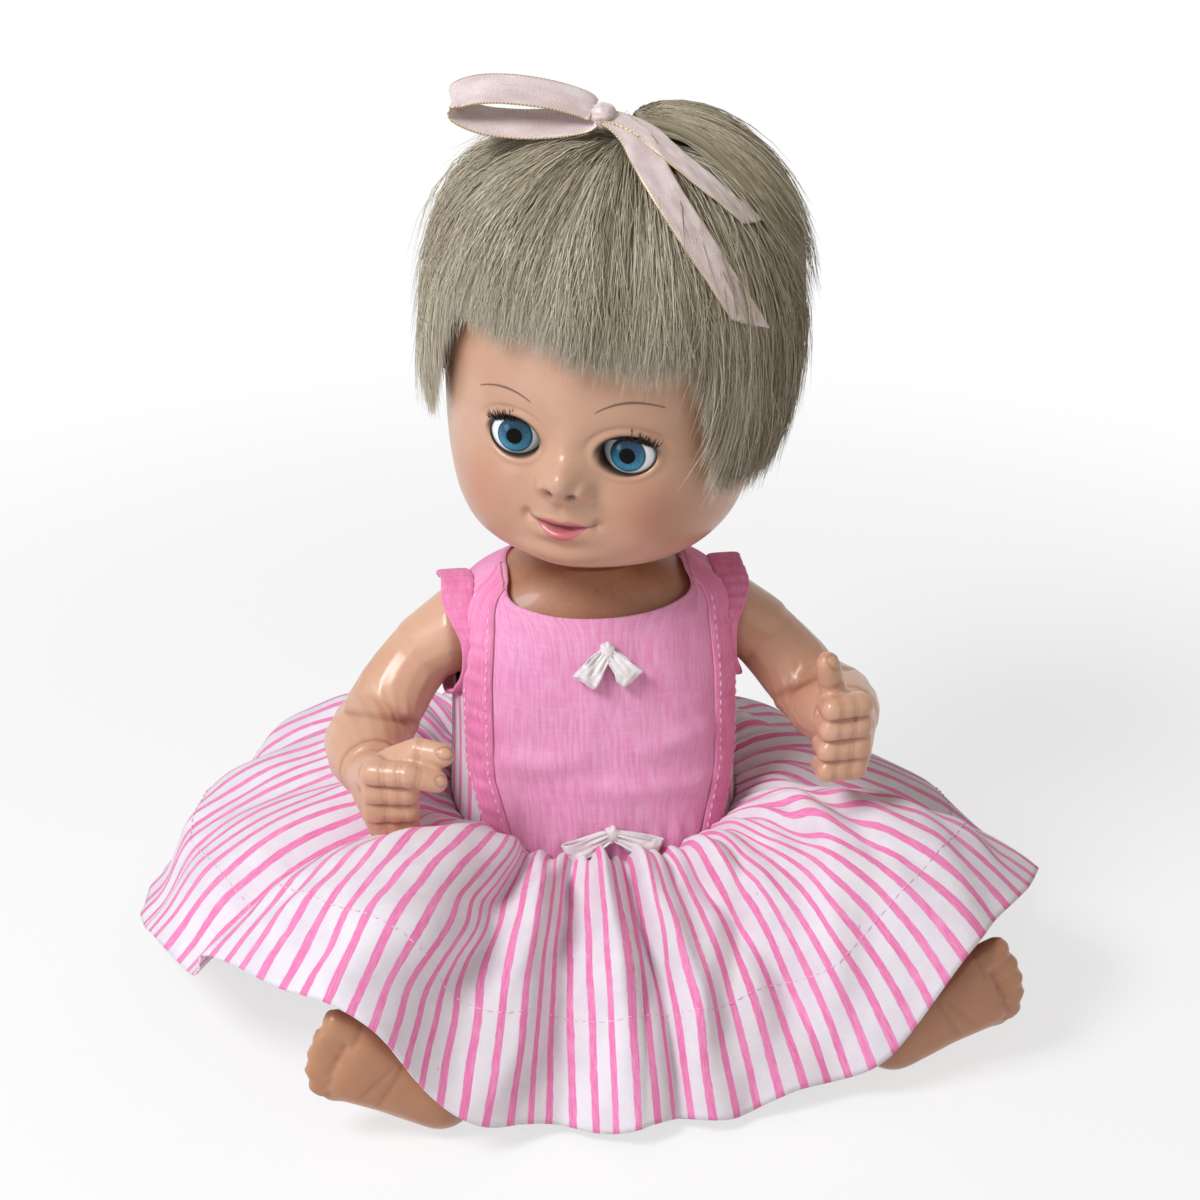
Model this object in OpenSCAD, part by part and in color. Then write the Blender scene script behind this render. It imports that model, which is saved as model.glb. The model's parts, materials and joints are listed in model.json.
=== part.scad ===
// Seated baby doll with sleep eyes, rooted hair and a gathered dress, in millimetres.
// The doll faces -Y, +Z is up and the flat seat rests on z = 0.

/* [Torso] */
// Height of the torso from the seat to the neck ring
torso_h = 156; // [150:1:164]
// Width of the torso across the belly
torso_w = 100; // [96:1:106]
// Depth of the belly in front of the side seam
belly_depth = 45; // [42:1:48]
// Depth of the back behind the side seam
back_depth = 42; // [41:1:46]
// Wall of the two torso shells
shell_wall = 2.6; // [2.2:0.1:3.2]
// Radius of the neck opening in the torso
neck_hole_r = 14; // [13:0.5:15]

/* [Head] */
// Half width of the skull
skull_half_w = 56; // [53:0.5:59]
// Depth of the skull in front of the neck axis
skull_front = 55; // [53:0.5:58]
// Depth of the skull behind the neck axis
skull_back = 61; // [57:0.5:65]
// Height of the skull's widest ring over the neck
skull_mid_h = 80; // [78:0.5:84]
// Height of the crown over the widest ring
crown_h = 65; // [62:0.5:68]
// Wall of the head
head_wall = 3; // [2.6:0.1:3.4]
// Turn of the face towards the doll's right
head_turn = 22; // [0:1:30]
// Lean of the head towards the doll's left
head_lean = 5; // [0:0.5:6]

/* [Eyes] */
// Radius of an eyeball
eye_r = 11; // [10:0.25:11.5]
// Distance between the eye centres
eye_spacing = 38; // [36:0.5:40]
// Height of the eye line over the neck
eye_h = 58; // [56:0.5:60]
// Width of an eye opening
eye_open_w = 19; // [17:0.5:20]
// Height of an eye opening
eye_open_h = 14.5; // [13:0.5:15]
// Radius of the eye pivot pin
eye_pin_r = 1.2; // [1:0.1:1.5]

/* [Arms] */
// How far the shoulder axis lies below the neck ring
shoulder_drop = 29; // [26:0.5:32]
// How far the shoulder faces stand in from the widest side of the torso
shoulder_inset = 4.5; // [3.5:0.5:6]
// Largest radius of the upper arm
arm_r = 15.5; // [14.5:0.25:16]
// Rest lift of the left arm over the right one
left_arm_lift = 13; // [0:1:16]
// Spacing of the stacked fingers
finger_pitch = 7.6; // [7:0.1:8.2]
// Radius of the shoulder pivot stem
arm_stem_r = 6; // [5:0.25:6.5]

/* [Legs] */
// Height of the hip centre
hip_z = 28; // [27:0.5:30]
// Half distance between the hip centres
hip_x = 40; // [39:0.5:41]
// Outward tilt of the hip axis below level
hip_tilt = 20; // [18:0.5:22]
// Largest radius of the thigh
thigh_r = 23; // [21.5:0.25:23.5]
// Length of the foot from heel centre to toe base
foot_len = 42; // [38:0.5:44]
// Swing of the right foot towards the middle
right_foot_in = 18; // [14:0.5:20]
// Swing of the left foot outwards
left_foot_out = 5; // [0:0.5:6]
// Radius of the hip pivot stem
leg_stem_r = 7; // [6:0.25:7.5]

/* [Hair] */
// Thickness of the rooted hair over the skull
hair_t = 7.5; // [6:0.25:9]
// Height of the fringe edge over the neck
fringe_h = 92; // [89:0.5:96]
// Height of the hair edge at the sides over the neck
side_hair_h = 44; // [40:0.5:48]
// Thickness of the ponytail
ponytail_t = 9; // [6:0.5:11]
// Width of the satin hair ribbon
ribbon_w = 13; // [10:0.5:15]

/* [Dress] */
// Thickness of the dress cloth
cloth_t = 0.9; // [0.7:0.05:1]
// Height of the waist seam at the front
waist_z = 57; // [55:0.5:60]
// Half width of the bib across the chest
bib_half_w = 44; // [42:0.5:45]
// Width of the bib side bindings
binding_w = 8; // [7:0.5:9]
// Radius of the armholes
armhole_r = 20; // [19.75:0.25:20.75]
// Number of main folds round the skirt
fold_count = 17; // [13:1:19]
// Reach of the skirt hem in front of the body
hem_front = 130; // [127:0.5:134]
// Reach of the skirt hem at the sides
hem_side = 160; // [156:0.5:164]
// Reach of the skirt hem behind the body
hem_back = 125; // [118:0.5:132]
// Thickness of the skirt cloth
skirt_t = 1.2; // [1:0.1:1.5]

/* [Electronics] */
// Radius of a battery cell
cell_r = 13.1; // [12.6:0.1:13.2]
// Length of a battery cell with its cap
cell_len = 50; // [49:0.5:51]
// Wall of the battery box
box_wall = 1.6; // [1.4:0.1:2]
// Radius of the speaker flange
speaker_r = 21; // [18:0.5:22]
// Width of the circuit board
board_w = 46; // [40:1:50]
// Height of the circuit board
board_h = 34; // [30:1:36]
// Travel of the power switch
switch_travel = 4; // [3:0.5:5]

/* [Hidden] */
$fn = 48;
// Clearances between seated pieces, turning shafts and neighbouring solids
seat_gap = 0.1;
run_gap = 0.05;
soft_gap = 0.3;

// Torso derived sizes
torso_power = 2.3;
torso_profile = [
    // height share, half width share, front share, back share
    [0.00, 0.54, 0.55, 0.56],
    [0.05, 0.82, 0.80, 0.82],
    [0.16, 0.97, 0.95, 0.96],
    [0.29, 1.00, 1.00, 1.00],
    [0.45, 0.98, 0.96, 0.98],
    [0.61, 0.965, 0.87, 0.93],
    [0.74, 0.965, 0.80, 0.86],
    [0.84, 0.95, 0.72, 0.77],
    [0.91, 0.90, 0.62, 0.66],
    [0.95, 0.78, 0.54, 0.57],
    [0.98, 0.56, 0.46, 0.49],
    [1.00, 0.38, 0.41, 0.44]
];
torso_rows = [0, 0.015, 0.05, 0.10, 0.17, 0.27, 0.38, 0.50, 0.62, 0.72, 0.80, 0.86, 0.91, 0.945, 0.975, 1];
neck_plate = 7.8;
half_steps = 14;
seam_gap = 0.05;

// Head derived sizes
neck_ring_r = 15.5;
neck_base = 2.2;
skull_c = [0, 0, skull_mid_h];
chin_profile = [
    // share of the height to the widest ring, half width, front and back shares
    [0.0275, 0.277, 0.28, 0.25],
    [0.075, 0.275, 0.30, 0.26],
    [0.105, 0.37, 0.48, 0.31],
    [0.145, 0.56, 0.72, 0.38],
    [0.20, 0.72, 0.86, 0.50],
    [0.30, 0.84, 0.92, 0.65],
    [0.45, 0.915, 0.955, 0.78],
    [0.62, 0.96, 0.975, 0.88],
    [0.79, 0.985, 0.99, 0.96],
    [1.00, 1.00, 1.00, 1.00]
];
head_steps = 40;
eye_y = -0.7 * skull_front;
eye_gap = 0.35;
lash_reach = 1.8;
lash_angle = 22;

// Eye hardware
casing_wall = 1.8;
casing_len = 6;
weight_r = 3.4;
weight_w = 11;
weight_pos = [0, 11, -16];

// Limb hardware
shoulder_x = torso_w / 2 - shoulder_inset;
shoulder_z = torso_h - shoulder_drop;
bush_wall = 3;
hub_r = 10;
hub_t = 3;
limb_gap = 0.3;
washer_t = 2;

// Dress layers over the torso
bodice_off = 0.9;
bib_off = bodice_off + cloth_t + 0.7;
band_off = bib_off + cloth_t + 0.5;
waist_rise = 10;
dress_rows = [0, 0.3, 0.58, 0.8, 0.9, 0.95, 1];
neckline_z = torso_h - 9;
neckline_rise = 5.6;

// Electronics layout
pair_pitch = 2 * cell_r + 0.6;
box_in_w = 2 * pair_pitch + 0.6;
box_in_h = cell_len + 4;
box_y = 1;
box_z = 0.2565 * torso_h;
box_w = box_in_w + 2 * box_wall;
box_h = box_in_h + 2 * box_wall;
cell_y = box_y + box_wall + soft_gap + cell_r;
cell_z = box_z + box_wall + 2;
door_w = box_w - 2;
door_z0 = box_z + 1;
door_z1 = box_z + box_h + 8;
boss_r = 4;
boss_z = box_z + box_h + boss_r - 1.5;
box_back = min(inner_back_y(box_w / 2, box_z), inner_back_y(box_w / 2, box_z + box_h)) - soft_gap;
boss_back = inner_back_y(0, boss_z + boss_r) - soft_gap;
post_len = 3;
board_t = 1.6;
board_y = box_y - post_len - seat_gap;
board_z = box_z + 3;
speaker_z = shoulder_z - speaker_r;
speaker_y = -24;
speaker_d = 16;
post_x = torso_w / 2 - 12;
post_r = 4;
post_zs = [0.372 * torso_h, 0.628 * torso_h];
screw_r = 1.5;
screw_head_r = 3;
screw_seat_y = 11;
switch_z = box_z + box_h + 22;
knob_w = 4;

// General functions
function limit(v, a, b) = max(a, min(b, v));
function ramp(v, a, b) = limit((v - a) / (b - a), 0, 1);
function ease(t) = t * t * (3 - 2 * t);
function mix(a, b, t) = a + (b - a) * t;
function bell(v, w) = exp(-(v / w) * (v / w));
function unit(v) = v / norm(v);
function sgn_pow(v, p) = sign(v) * pow(abs(v), p);

// Smooth curve through rows whose first entry is the position along it
function row_of(k, t, i = 0) = (i >= len(k) - 2 || t < k[i + 1][0]) ? i : row_of(k, t, i + 1);
function row_slope(k, i) = let(a = max(i - 1, 0), b = min(i + 1, len(k) - 1))
    (k[b] - k[a]) / (k[b][0] - k[a][0]);
function curve(k, t) = let(
    i = row_of(k, t),
    h = k[i + 1][0] - k[i][0],
    s = (t - k[i][0]) / h,
    s2 = s * s,
    s3 = s2 * s
) k[i] * (2 * s3 - 3 * s2 + 1) + row_slope(k, i) * h * (s3 - 2 * s2 + s)
    + k[i + 1] * (3 * s2 - 2 * s3) + row_slope(k, i + 1) * h * (s3 - s2);

// Triangles between two rings of n points, and over one ring
function band_faces(a, b, n) = [for (i = [0:n - 1]) let(j = (i + 1) % n)
    each [[a + i, b + j, a + j], [a + i, b + i, b + j]]];
function cap_faces(a, n) = [for (i = [1:n - 2]) [a, a + i, a + i + 1]];
function cap_back(a, n) = [for (i = [1:n - 2]) [a, a + i + 1, a + i]];

// Solid skinned over a list of rings, closed at both ends
module skin(rings) {
    n = len(rings[0]);
    m = len(rings);
    polyhedron(
        points = [for (r = rings) each r],
        faces = [
            each cap_faces(0, n),
            for (k = [0:m - 2]) each band_faces(k * n, (k + 1) * n, n),
            each cap_back((m - 1) * n, n)
        ]
    );
}

// Solid skinned over rings that run out along one line and back along another
function pair_cap(a, n) = [for (k = [0:n / 2 - 2]) each (k < n / 4
    ? [[a + k, a + k + 1, a + n - 1 - k], [a + k + 1, a + n - 2 - k, a + n - 1 - k]]
    : [[a + k, a + k + 1, a + n - 2 - k], [a + k, a + n - 2 - k, a + n - 1 - k]])];
function pair_cap_back(a, n) = [for (f = pair_cap(a, n)) [f[0], f[2], f[1]]];
module pair_skin(rings) {
    n = len(rings[0]);
    m = len(rings);
    polyhedron(
        points = [for (r = rings) each r],
        faces = [
            each pair_cap(0, n),
            for (k = [0:m - 2]) each band_faces(k * n, (k + 1) * n, n),
            each pair_cap_back((m - 1) * n, n)
        ]
    );
}

// Ring of points round a path point, square to the path
function ring_at(p, dir, r, n, up) = let(
    t = unit(dir),
    u = unit(cross(up, t)),
    v = cross(t, u)
) [for (i = [0:n - 1]) p + r * (cos(360 * i / n) * u + sin(360 * i / n) * v)];

// Tube along rows of [share, x, y, z, radius]
function tube_rings(rows, count, n, up) = [for (k = [0:count]) let(
    t = k / count,
    c = curve(rows, t),
    d = curve(rows, min(t + 0.01, 1)) - curve(rows, max(t - 0.01, 0))
) ring_at([c[1], c[2], c[3]], [d[1], d[2], d[3]], c[4], n, up)];

// Flat strip along a path, with one width direction per point
function strip_rings(path, across, width, thick) = [for (i = [0:len(path) - 1]) let(
    d = unit(path[min(i + 1, len(path) - 1)] - path[max(i - 1, 0)]),
    w = unit(across[i] - d * (across[i] * d)),
    n = cross(d, w)
) [
    path[i] - w * width / 2 - n * thick / 2,
    path[i] + w * width / 2 - n * thick / 2,
    path[i] + w * width / 2 + n * thick / 2,
    path[i] - w * width / 2 + n * thick / 2
]];

// Torso surface: phi 0 is the front, 90 the doll's left, and off stands clear of the shell
function shoulder_limit(z) = shoulder_x + max(0, shoulder_z - arm_r - 2 - z) * 0.8;
function hip_limit(z) = hip_x + (z - hip_z) * tan(hip_tilt);
function torso_half(z) = curve(torso_profile, limit(z / torso_h, 0, 1));
function torso_pt(phi, z, off) = let(
    c = torso_half(z),
    px = 2 / torso_power,
    rx = c[1] * torso_w / 2 + off,
    ry = (cos(phi) > 0 ? c[2] * belly_depth : c[3] * back_depth) + off,
    x = rx * sgn_pow(sin(phi), px),
    y = -ry * sgn_pow(cos(phi), px),
    cut = min(shoulder_limit(z), hip_limit(z)) + off
) [limit(x, -cut, cut), y, z];
function torso_front_y(z) = torso_pt(0, z, 0)[1];
function torso_back_y(z) = torso_pt(180, z, 0)[1];
function inner_back_y(x, z) = let(c = torso_half(z))
    (c[3] * back_depth - shell_wall)
    * pow(1 - pow(x / (c[1] * torso_w / 2 - shell_wall), torso_power), 1 / torso_power);

// Half shell rings: side 0 is the front half and 180 the rear half
function inner_pt(phi, z) = let(zz = max(z, shell_wall))
    zz > torso_h - neck_plate
    ? [neck_hole_r * sin(phi), -neck_hole_r * cos(phi), zz]
    : let(p = torso_pt(phi, zz, -shell_wall))
        [p[0], p[1], zz - 1.6 * ramp(zz, 0.84 * torso_h, 0.94 * torso_h)];
function half_arc(side) = [for (i = [0:half_steps]) side - 90 + 180 * i / half_steps];
function seam_line(side, z) = [for (i = [0:half_steps])
    let(p = torso_pt(side + 90, z, -shell_wall), q = torso_pt(side - 90, z, -shell_wall))
    mix(p, q, i / half_steps)];
function shell_ring(side, z) = [
    for (a = half_arc(side)) torso_pt(a, z, 0),
    for (i = [half_steps:-1:0]) inner_pt(half_arc(side)[i], z)
];
function floor_ring(side, z, zi) = [
    for (a = half_arc(side)) torso_pt(a, z, 0),
    for (p = seam_line(side, z)) [p[0], 0, zi]
];
module half_shell(side) {
    y = side == 0 ? -seam_gap : seam_gap;
    zs = [for (t = torso_rows) if (t > 0.03 && t < 1) t * torso_h];
    translate([0, y, 0])
        pair_skin([
            floor_ring(side, 0, 0),
            floor_ring(side, 0.6 * shell_wall, shell_wall),
            for (z = zs) shell_ring(side, z),
            shell_ring(side, torso_h)
        ]);
}

// Solid half of the torso, standing clear of the shell by off
module half_solid(side, off, z0, z1) {
    count = 7;
    skin([for (k = [0:count]) let(z = mix(z0, z1, k / count))
        [for (a = half_arc(side)) torso_pt(a, z, off)]]);
}

// Patch of cloth or wall over the torso between two stand-offs
module patch(points_in, points_out) {
    m = len(points_in);
    n = len(points_in[0]);
    rings = [for (k = [0:m - 1]) [
        for (i = [0:n - 1]) points_out[k][i],
        for (i = [n - 1:-1:0]) points_in[k][i]
    ]];
    pair_skin(rings);
}

// Placement helpers
module along_y(y) { translate([0, y, 0]) rotate([-90, 0, 0]) children(); }
module along_x() { rotate([0, 90, 0]) children(); }
module at_head() { translate([0, 0, torso_h]) rotate([0, head_lean, 0]) rotate([0, 0, -head_turn]) children(); }
module at_neck() { translate([0, 0, torso_h]) rotate([0, 0, -head_turn]) children(); }
module at_shoulder(side) {
    translate([side * shoulder_x, 0, shoulder_z]) mirrored(side)
        rotate([side > 0 ? -left_arm_lift : 0, 0, 0]) children();
}
module at_hip(side) {
    mirror([side < 0 ? 1 : 0, 0, 0])
        translate([hip_x, 0, hip_z]) rotate([0, hip_tilt, 0]) children();
}
module mirrored(side) { mirror([side < 0 ? 1 : 0, 0, 0]) children(); }
module at_eye(side) { at_head() translate([side * eye_spacing / 2, eye_y, eye_h]) children(); }

// Torso shells
module limb_holes() {
    for (side = [-1, 1]) {
        translate([side * shoulder_x, 0, shoulder_z]) along_x()
            cylinder(r = arm_stem_r + bush_wall + soft_gap, h = 20, center = true);
        at_hip(side) along_x()
            cylinder(r = leg_stem_r + bush_wall + soft_gap, h = 20, center = true);
    }
}
module shell_posts(length) {
    for (x = [-post_x, post_x])
        for (z = post_zs)
            translate([x, 0, z]) rotate([90, 0, 0]) cylinder(r = post_r, h = length);
}
module torso_front_shell() {
    color("tan") difference() {
        union() {
            half_shell(0);
            intersection() {
                half_solid(0, -0.8, 4, torso_h - 6);
                translate([0, -seam_gap, 0]) union() {
                    shell_posts(60);
                    translate([0, speaker_y + seam_gap, speaker_z]) rotate([90, 0, 0]) difference() {
                        cylinder(r = speaker_r + 1.5, h = 30);
                        translate([0, 0, -1]) cylinder(r = speaker_r - 1.5, h = 32);
                    }
                }
            }
        }
        limb_holes();
        for (x = [-post_x, post_x])
            for (z = post_zs)
                translate([x, 1, z]) rotate([90, 0, 0]) cylinder(r = screw_r + 0.1, h = 15);
        for (k = [0:6])
            translate([k == 0 ? 0 : 8 * cos(60 * k), -20, speaker_z + (k == 0 ? 0 : 8 * sin(60 * k))])
                rotate([90, 0, 0]) cylinder(r = 1.6, h = 40);
    }
}
module torso_rear_shell() {
    color("wheat") difference() {
        union() {
            half_shell(180);
            intersection() {
                half_solid(180, -0.8, 4, torso_h - 6);
                translate([0, seam_gap, 0]) mirror([0, 1, 0]) shell_posts(60);
            }
        }
        limb_holes();
        for (x = [-post_x, post_x])
            for (z = post_zs)
                translate([x, -1, z]) {
                    along_y(0) cylinder(r = screw_r + 0.15, h = 60);
                    along_y(screw_seat_y + 1) cylinder(r = screw_head_r + 0.3, h = 60);
                }
        translate([-door_w / 2, box_y + 12, door_z0]) cube([door_w, 60, door_z1 - door_z0]);
        translate([-(knob_w + switch_travel) / 2 - soft_gap, 20, switch_z - knob_w / 2 - soft_gap])
            cube([knob_w + switch_travel + 2 * soft_gap, 40, knob_w + 2 * soft_gap]);
    }
}
module shell_screws() {
    color("silver")
        for (x = [-post_x, post_x])
            for (z = post_zs)
                translate([x, 0, z]) {
                    along_y(-12) cylinder(r = screw_r, h = 12 + screw_seat_y + seat_gap + 0.5);
                    along_y(screw_seat_y + seat_gap) cylinder(r = screw_head_r, h = 2);
                }
}
module rear_wall(grow) {
    angles = [for (i = [0:12]) 132 + 96 * i / 12];
    zs = [for (k = [0:6]) mix(door_z0 - 3, door_z1 + 3, k / 6)];
    patch(
        [for (z = zs) [for (a = angles) torso_pt(a, z, -shell_wall + grow)]],
        [for (z = zs) [for (a = angles) torso_pt(a, z, -grow)]]
    );
}
module battery_door() {
    g = soft_gap;
    color("burlywood") difference() {
        intersection() {
            rear_wall(0);
            translate([-door_w / 2 + g, box_y + 14, door_z0 + g])
                cube([door_w - 2 * g, 60, door_z1 - door_z0 - 2 * g]);
        }
        translate([0, 0, boss_z]) {
            along_y(10) cylinder(r = screw_r + 0.15, h = 60);
            along_y(torso_back_y(boss_z) - 1.4) cylinder(r = screw_head_r + 0.3, h = 20);
        }
    }
}
module door_screw() {
    y = torso_back_y(boss_z) - 1.4 + seat_gap;
    color("silver") translate([0, 0, boss_z]) {
        along_y(y - 12) cylinder(r = screw_r, h = 12.5);
        along_y(y) cylinder(r = screw_head_r, h = 1);
    }
}

// Power unit
module battery_box() {
    color("dimgray") difference() {
        union() {
            translate([-box_w / 2, box_y, box_z]) cube([box_w, box_back - box_y, box_h]);
            translate([0, 0, boss_z]) along_y(10) cylinder(r = boss_r, h = boss_back - 10);
            for (x = [-board_w / 2 + 4, board_w / 2 - 4])
                for (z = [board_z + 4, board_z + board_h - 4])
                    translate([x, box_y + 0.5, z]) rotate([90, 0, 0]) cylinder(r = 2.2, h = post_len + 0.5);
        }
        translate([-box_in_w / 2, box_y + box_wall, box_z + box_wall]) cube([box_in_w, 60, box_in_h]);
        translate([0, 0, boss_z]) along_y(12) cylinder(r = screw_r + 0.1, h = 60);
    }
}
module battery_cells() {
    cap_h = 1.7;
    color("goldenrod") for (s = [-1, 1])
        translate([s * pair_pitch / 2, cell_y, cell_z]) {
            cylinder(r = cell_r, h = cell_len - cap_h);
            cylinder(r = 3.4, h = cell_len);
        }
}
module battery_contacts() {
    plate = 0.4;
    z0 = box_z + box_wall + seat_gap;
    z1 = box_z + box_wall + box_in_h - seat_gap - plate;
    w = 2 * pair_pitch - 6;
    color("lightsteelblue") for (top = [0, 1]) {
        reach = top == 0 ? cell_z - z0 - seat_gap : z1 + plate - cell_z - cell_len - seat_gap;
        translate([0, cell_y, top == 0 ? z0 : z1 + plate]) mirror([0, 0, top]) {
            translate([-w / 2, -5, 0]) cube([w, 10, plate]);
            for (s = [-1, 1])
                translate([s * pair_pitch / 2, 0, 0]) difference() {
                    cylinder(r1 = 4.5, r2 = 3, h = reach);
                    translate([0, 0, plate]) cylinder(r1 = 3.7, r2 = 2.2, h = reach);
                }
        }
    }
}
module circuit_board() {
    color("seagreen") translate([-board_w / 2, board_y - board_t, board_z]) cube([board_w, board_t, board_h]);
}
module sound_chip() {
    color("black") translate([-14, board_y - board_t - seat_gap - 2.4, board_z + 12]) cube([13, 2.4, 10]);
}
module tilt_switch() {
    r = 3;
    color("silver") translate([13, board_y - board_t - seat_gap - r, board_z + 11]) cylinder(r = r, h = 11);
}

// Speaker
module speaker_turn() { translate([0, speaker_y, speaker_z]) rotate([-90, 0, 0]) children(); }
module speaker_frame() {
    rim = speaker_r - 0.5;
    neck = rim * 0.52;
    color("slategray") speaker_turn() rotate_extrude()
        polygon([
            [rim - 3.2, seat_gap], [rim, seat_gap], [rim, seat_gap + 1.4], [rim - 2.4, seat_gap + 1.4],
            [neck, speaker_d - 6], [3.5, speaker_d - 6], [3.5, speaker_d - 7.2], [neck - 0.8, speaker_d - 7.2]
        ]);
}
module speaker_cone() {
    rim = speaker_r - 5;
    color("saddlebrown") speaker_turn() rotate_extrude()
        polygon([
            [0, 5.2], [3, 6.0], [5, 7], [rim, seat_gap + 0.4], [rim, seat_gap + 1], [5, 7.8],
            [3, 8.4], [0, 8.4]
        ]);
}
module speaker_magnet() {
    color("gray") speaker_turn()
        translate([0, 0, speaker_d - 6 + seat_gap]) cylinder(r = speaker_r * 0.52, h = 6);
}

// Power switch
module switch_housing() {
    w = knob_w + switch_travel + 4;
    h = knob_w + 4;
    y0 = torso_back_y(switch_z) - shell_wall - 7;
    color("darkslategray") difference() {
        intersection() {
            half_solid(180, -shell_wall - soft_gap, switch_z - 10, switch_z + 10);
            translate([-w / 2, y0, switch_z - h / 2]) cube([w, 30, h]);
        }
        translate([-w / 2 + 1.2, y0 + 1.6, switch_z - h / 2 + 1.2]) cube([w - 2.4, 30, h - 2.4]);
    }
}
module switch_knob() {
    y0 = torso_back_y(switch_z) - shell_wall - 7 + 1.6 + soft_gap;
    y1 = torso_back_y(switch_z) - 0.6;
    w = knob_w + 1;
    color("firebrick") translate([-switch_travel / 2, 0, switch_z]) {
        translate([-w / 2, y0, -w / 2]) cube([w, 3, w]);
        translate([-knob_w / 2, y0 + 2, -knob_w / 2]) cube([knob_w, y1 - y0 - 2, knob_w]);
    }
}

// Bushes and hubs
module bush(stem_r, length, flange_at) {
    color("ivory") along_x() rotate_extrude() polygon([
        [stem_r + run_gap, -length], [stem_r + bush_wall + 2.5, -length],
        [stem_r + bush_wall + 2.5, -flange_at], [stem_r + bush_wall, -flange_at],
        [stem_r + bush_wall, -seat_gap], [stem_r + run_gap, -seat_gap]
    ]);
}
module limb_hub(stem_r, length) {
    color("linen") along_x() rotate_extrude() polygon([
        [0, -length - limb_gap - washer_t], [stem_r + 2.4, -length - limb_gap - washer_t],
        [stem_r + 2.4, -length - limb_gap], [stem_r, -length - limb_gap],
        [stem_r, limb_gap], [hub_r, limb_gap], [hub_r, limb_gap + hub_t], [0, limb_gap + hub_t]
    ]);
}
flange_at = shell_wall + 2;
bush_len = flange_at + 2.2;
module shoulder_bush(side) { at_shoulder(side) bush(arm_stem_r, bush_len, flange_at); }
module hip_bush(side) { at_hip(side) bush(leg_stem_r, bush_len, flange_at); }
module arm_hub(side) { at_shoulder(side) limb_hub(arm_stem_r, bush_len); }
module leg_hub(side) { at_hip(side) limb_hub(leg_stem_r, bush_len); }
neck_stem_r = 6;
module neck_bush() {
    color("ivory") translate([0, 0, torso_h]) rotate_extrude() polygon([
        [neck_stem_r + run_gap, -neck_plate - 2.8], [neck_hole_r + 2, -neck_plate - 2.8],
        [neck_hole_r + 2, -neck_plate - 0.6], [neck_hole_r - 0.4, -neck_plate - 0.6],
        [neck_hole_r - 0.4, 0], [neck_stem_r + run_gap, 0]
    ]);
}
module neck_spindle() {
    z0 = -neck_plate - 2.8 - soft_gap;
    disc_r = neck_ring_r - head_wall - 0.4;
    color("linen") at_neck() rotate_extrude() polygon([
        [0, z0 - washer_t], [neck_stem_r + 3, z0 - washer_t], [neck_stem_r + 3, z0], [neck_stem_r, z0],
        [neck_stem_r, 3.2], [disc_r, 3.2], [disc_r, 6.2], [0, 6.2]
    ]);
}

// Dress
function waist_at(phi) = waist_z + waist_rise * (1 - cos(phi)) / 2;
function neckline_at(phi) = let(a = acos(cos(phi)))
    neckline_z + neckline_rise * ease(ramp(a, 15, 85)) - 2 * ramp(a, 110, 180);
module armhole(side, extra) {
    translate([side * (shoulder_x + 10), 0, shoulder_z]) along_x()
        cylinder(r = armhole_r + extra, h = 60, center = true);
}
module bodice() {
    n = 2 * half_steps;
    angles = [for (i = [0:n - 1]) 360 * i / n - 90];
    last = len(dress_rows) - 1;
    ring = function(k, off) [for (a = angles)
        torso_pt(a, mix(waist_at(a) + soft_gap, neckline_at(a), dress_rows[k]), off)];
    tube = [
        for (k = [0:last]) ring(k, bodice_off + cloth_t),
        for (k = [last:-1:0]) ring(k, bodice_off)
    ];
    count = len(tube);
    color("lightpink") difference() {
        polyhedron(
            points = [for (r = tube) each r],
            faces = [for (k = [0:count - 1]) each band_faces(k * n, ((k + 1) % count) * n, n)]
        );
        armhole(1, 0);
        armhole(-1, 0);
    }
}
function bib_edge_x(z) = bib_half_w - 6 * (1 - ramp(z, waist_z, waist_z + 26)) - 2 * ramp(z, 118, 146);
function angle_at_x(x, z) = let(rx = torso_half(z)[1] * torso_w / 2)
    min(88, asin(min(1, pow(x / rx, torso_power / 2))));
function bib_pt(x_share, inset, t, off) = let(
    z0 = mix(waist_z, neckline_z, t),
    a = x_share * angle_at_x(max(bib_edge_x(z0) - inset, 1), z0),
    z = mix(waist_at(a) + off * 0.75 + 0.4, neckline_at(a) - 0.5, t)
) torso_pt(a, z, off + 1.9 * ramp(z, neckline_z - 8, neckline_z + 2));
module bib_panel() {
    cols = 20;
    grid = function(off) [for (t = dress_rows) [for (i = [0:cols])
        bib_pt(2 * i / cols - 1, 0, t, off)]];
    color("hotpink") difference() {
        patch(grid(bib_off), grid(bib_off + cloth_t));
        armhole(1, 2);
        armhole(-1, 2);
    }
}
module bib_binding(side) {
    cols = 3;
    grid = function(off) [for (t = [0, 0.1, 0.2, each [for (k = [1:6]) dress_rows[k]]]) [for (i = [0:cols])
        bib_pt(1, binding_w * (1 - i / cols), t, off)]];
    color("deeppink") difference() {
        mirrored(side) patch(grid(band_off), grid(band_off + cloth_t));
        armhole(side, 2);
    }
}
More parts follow.
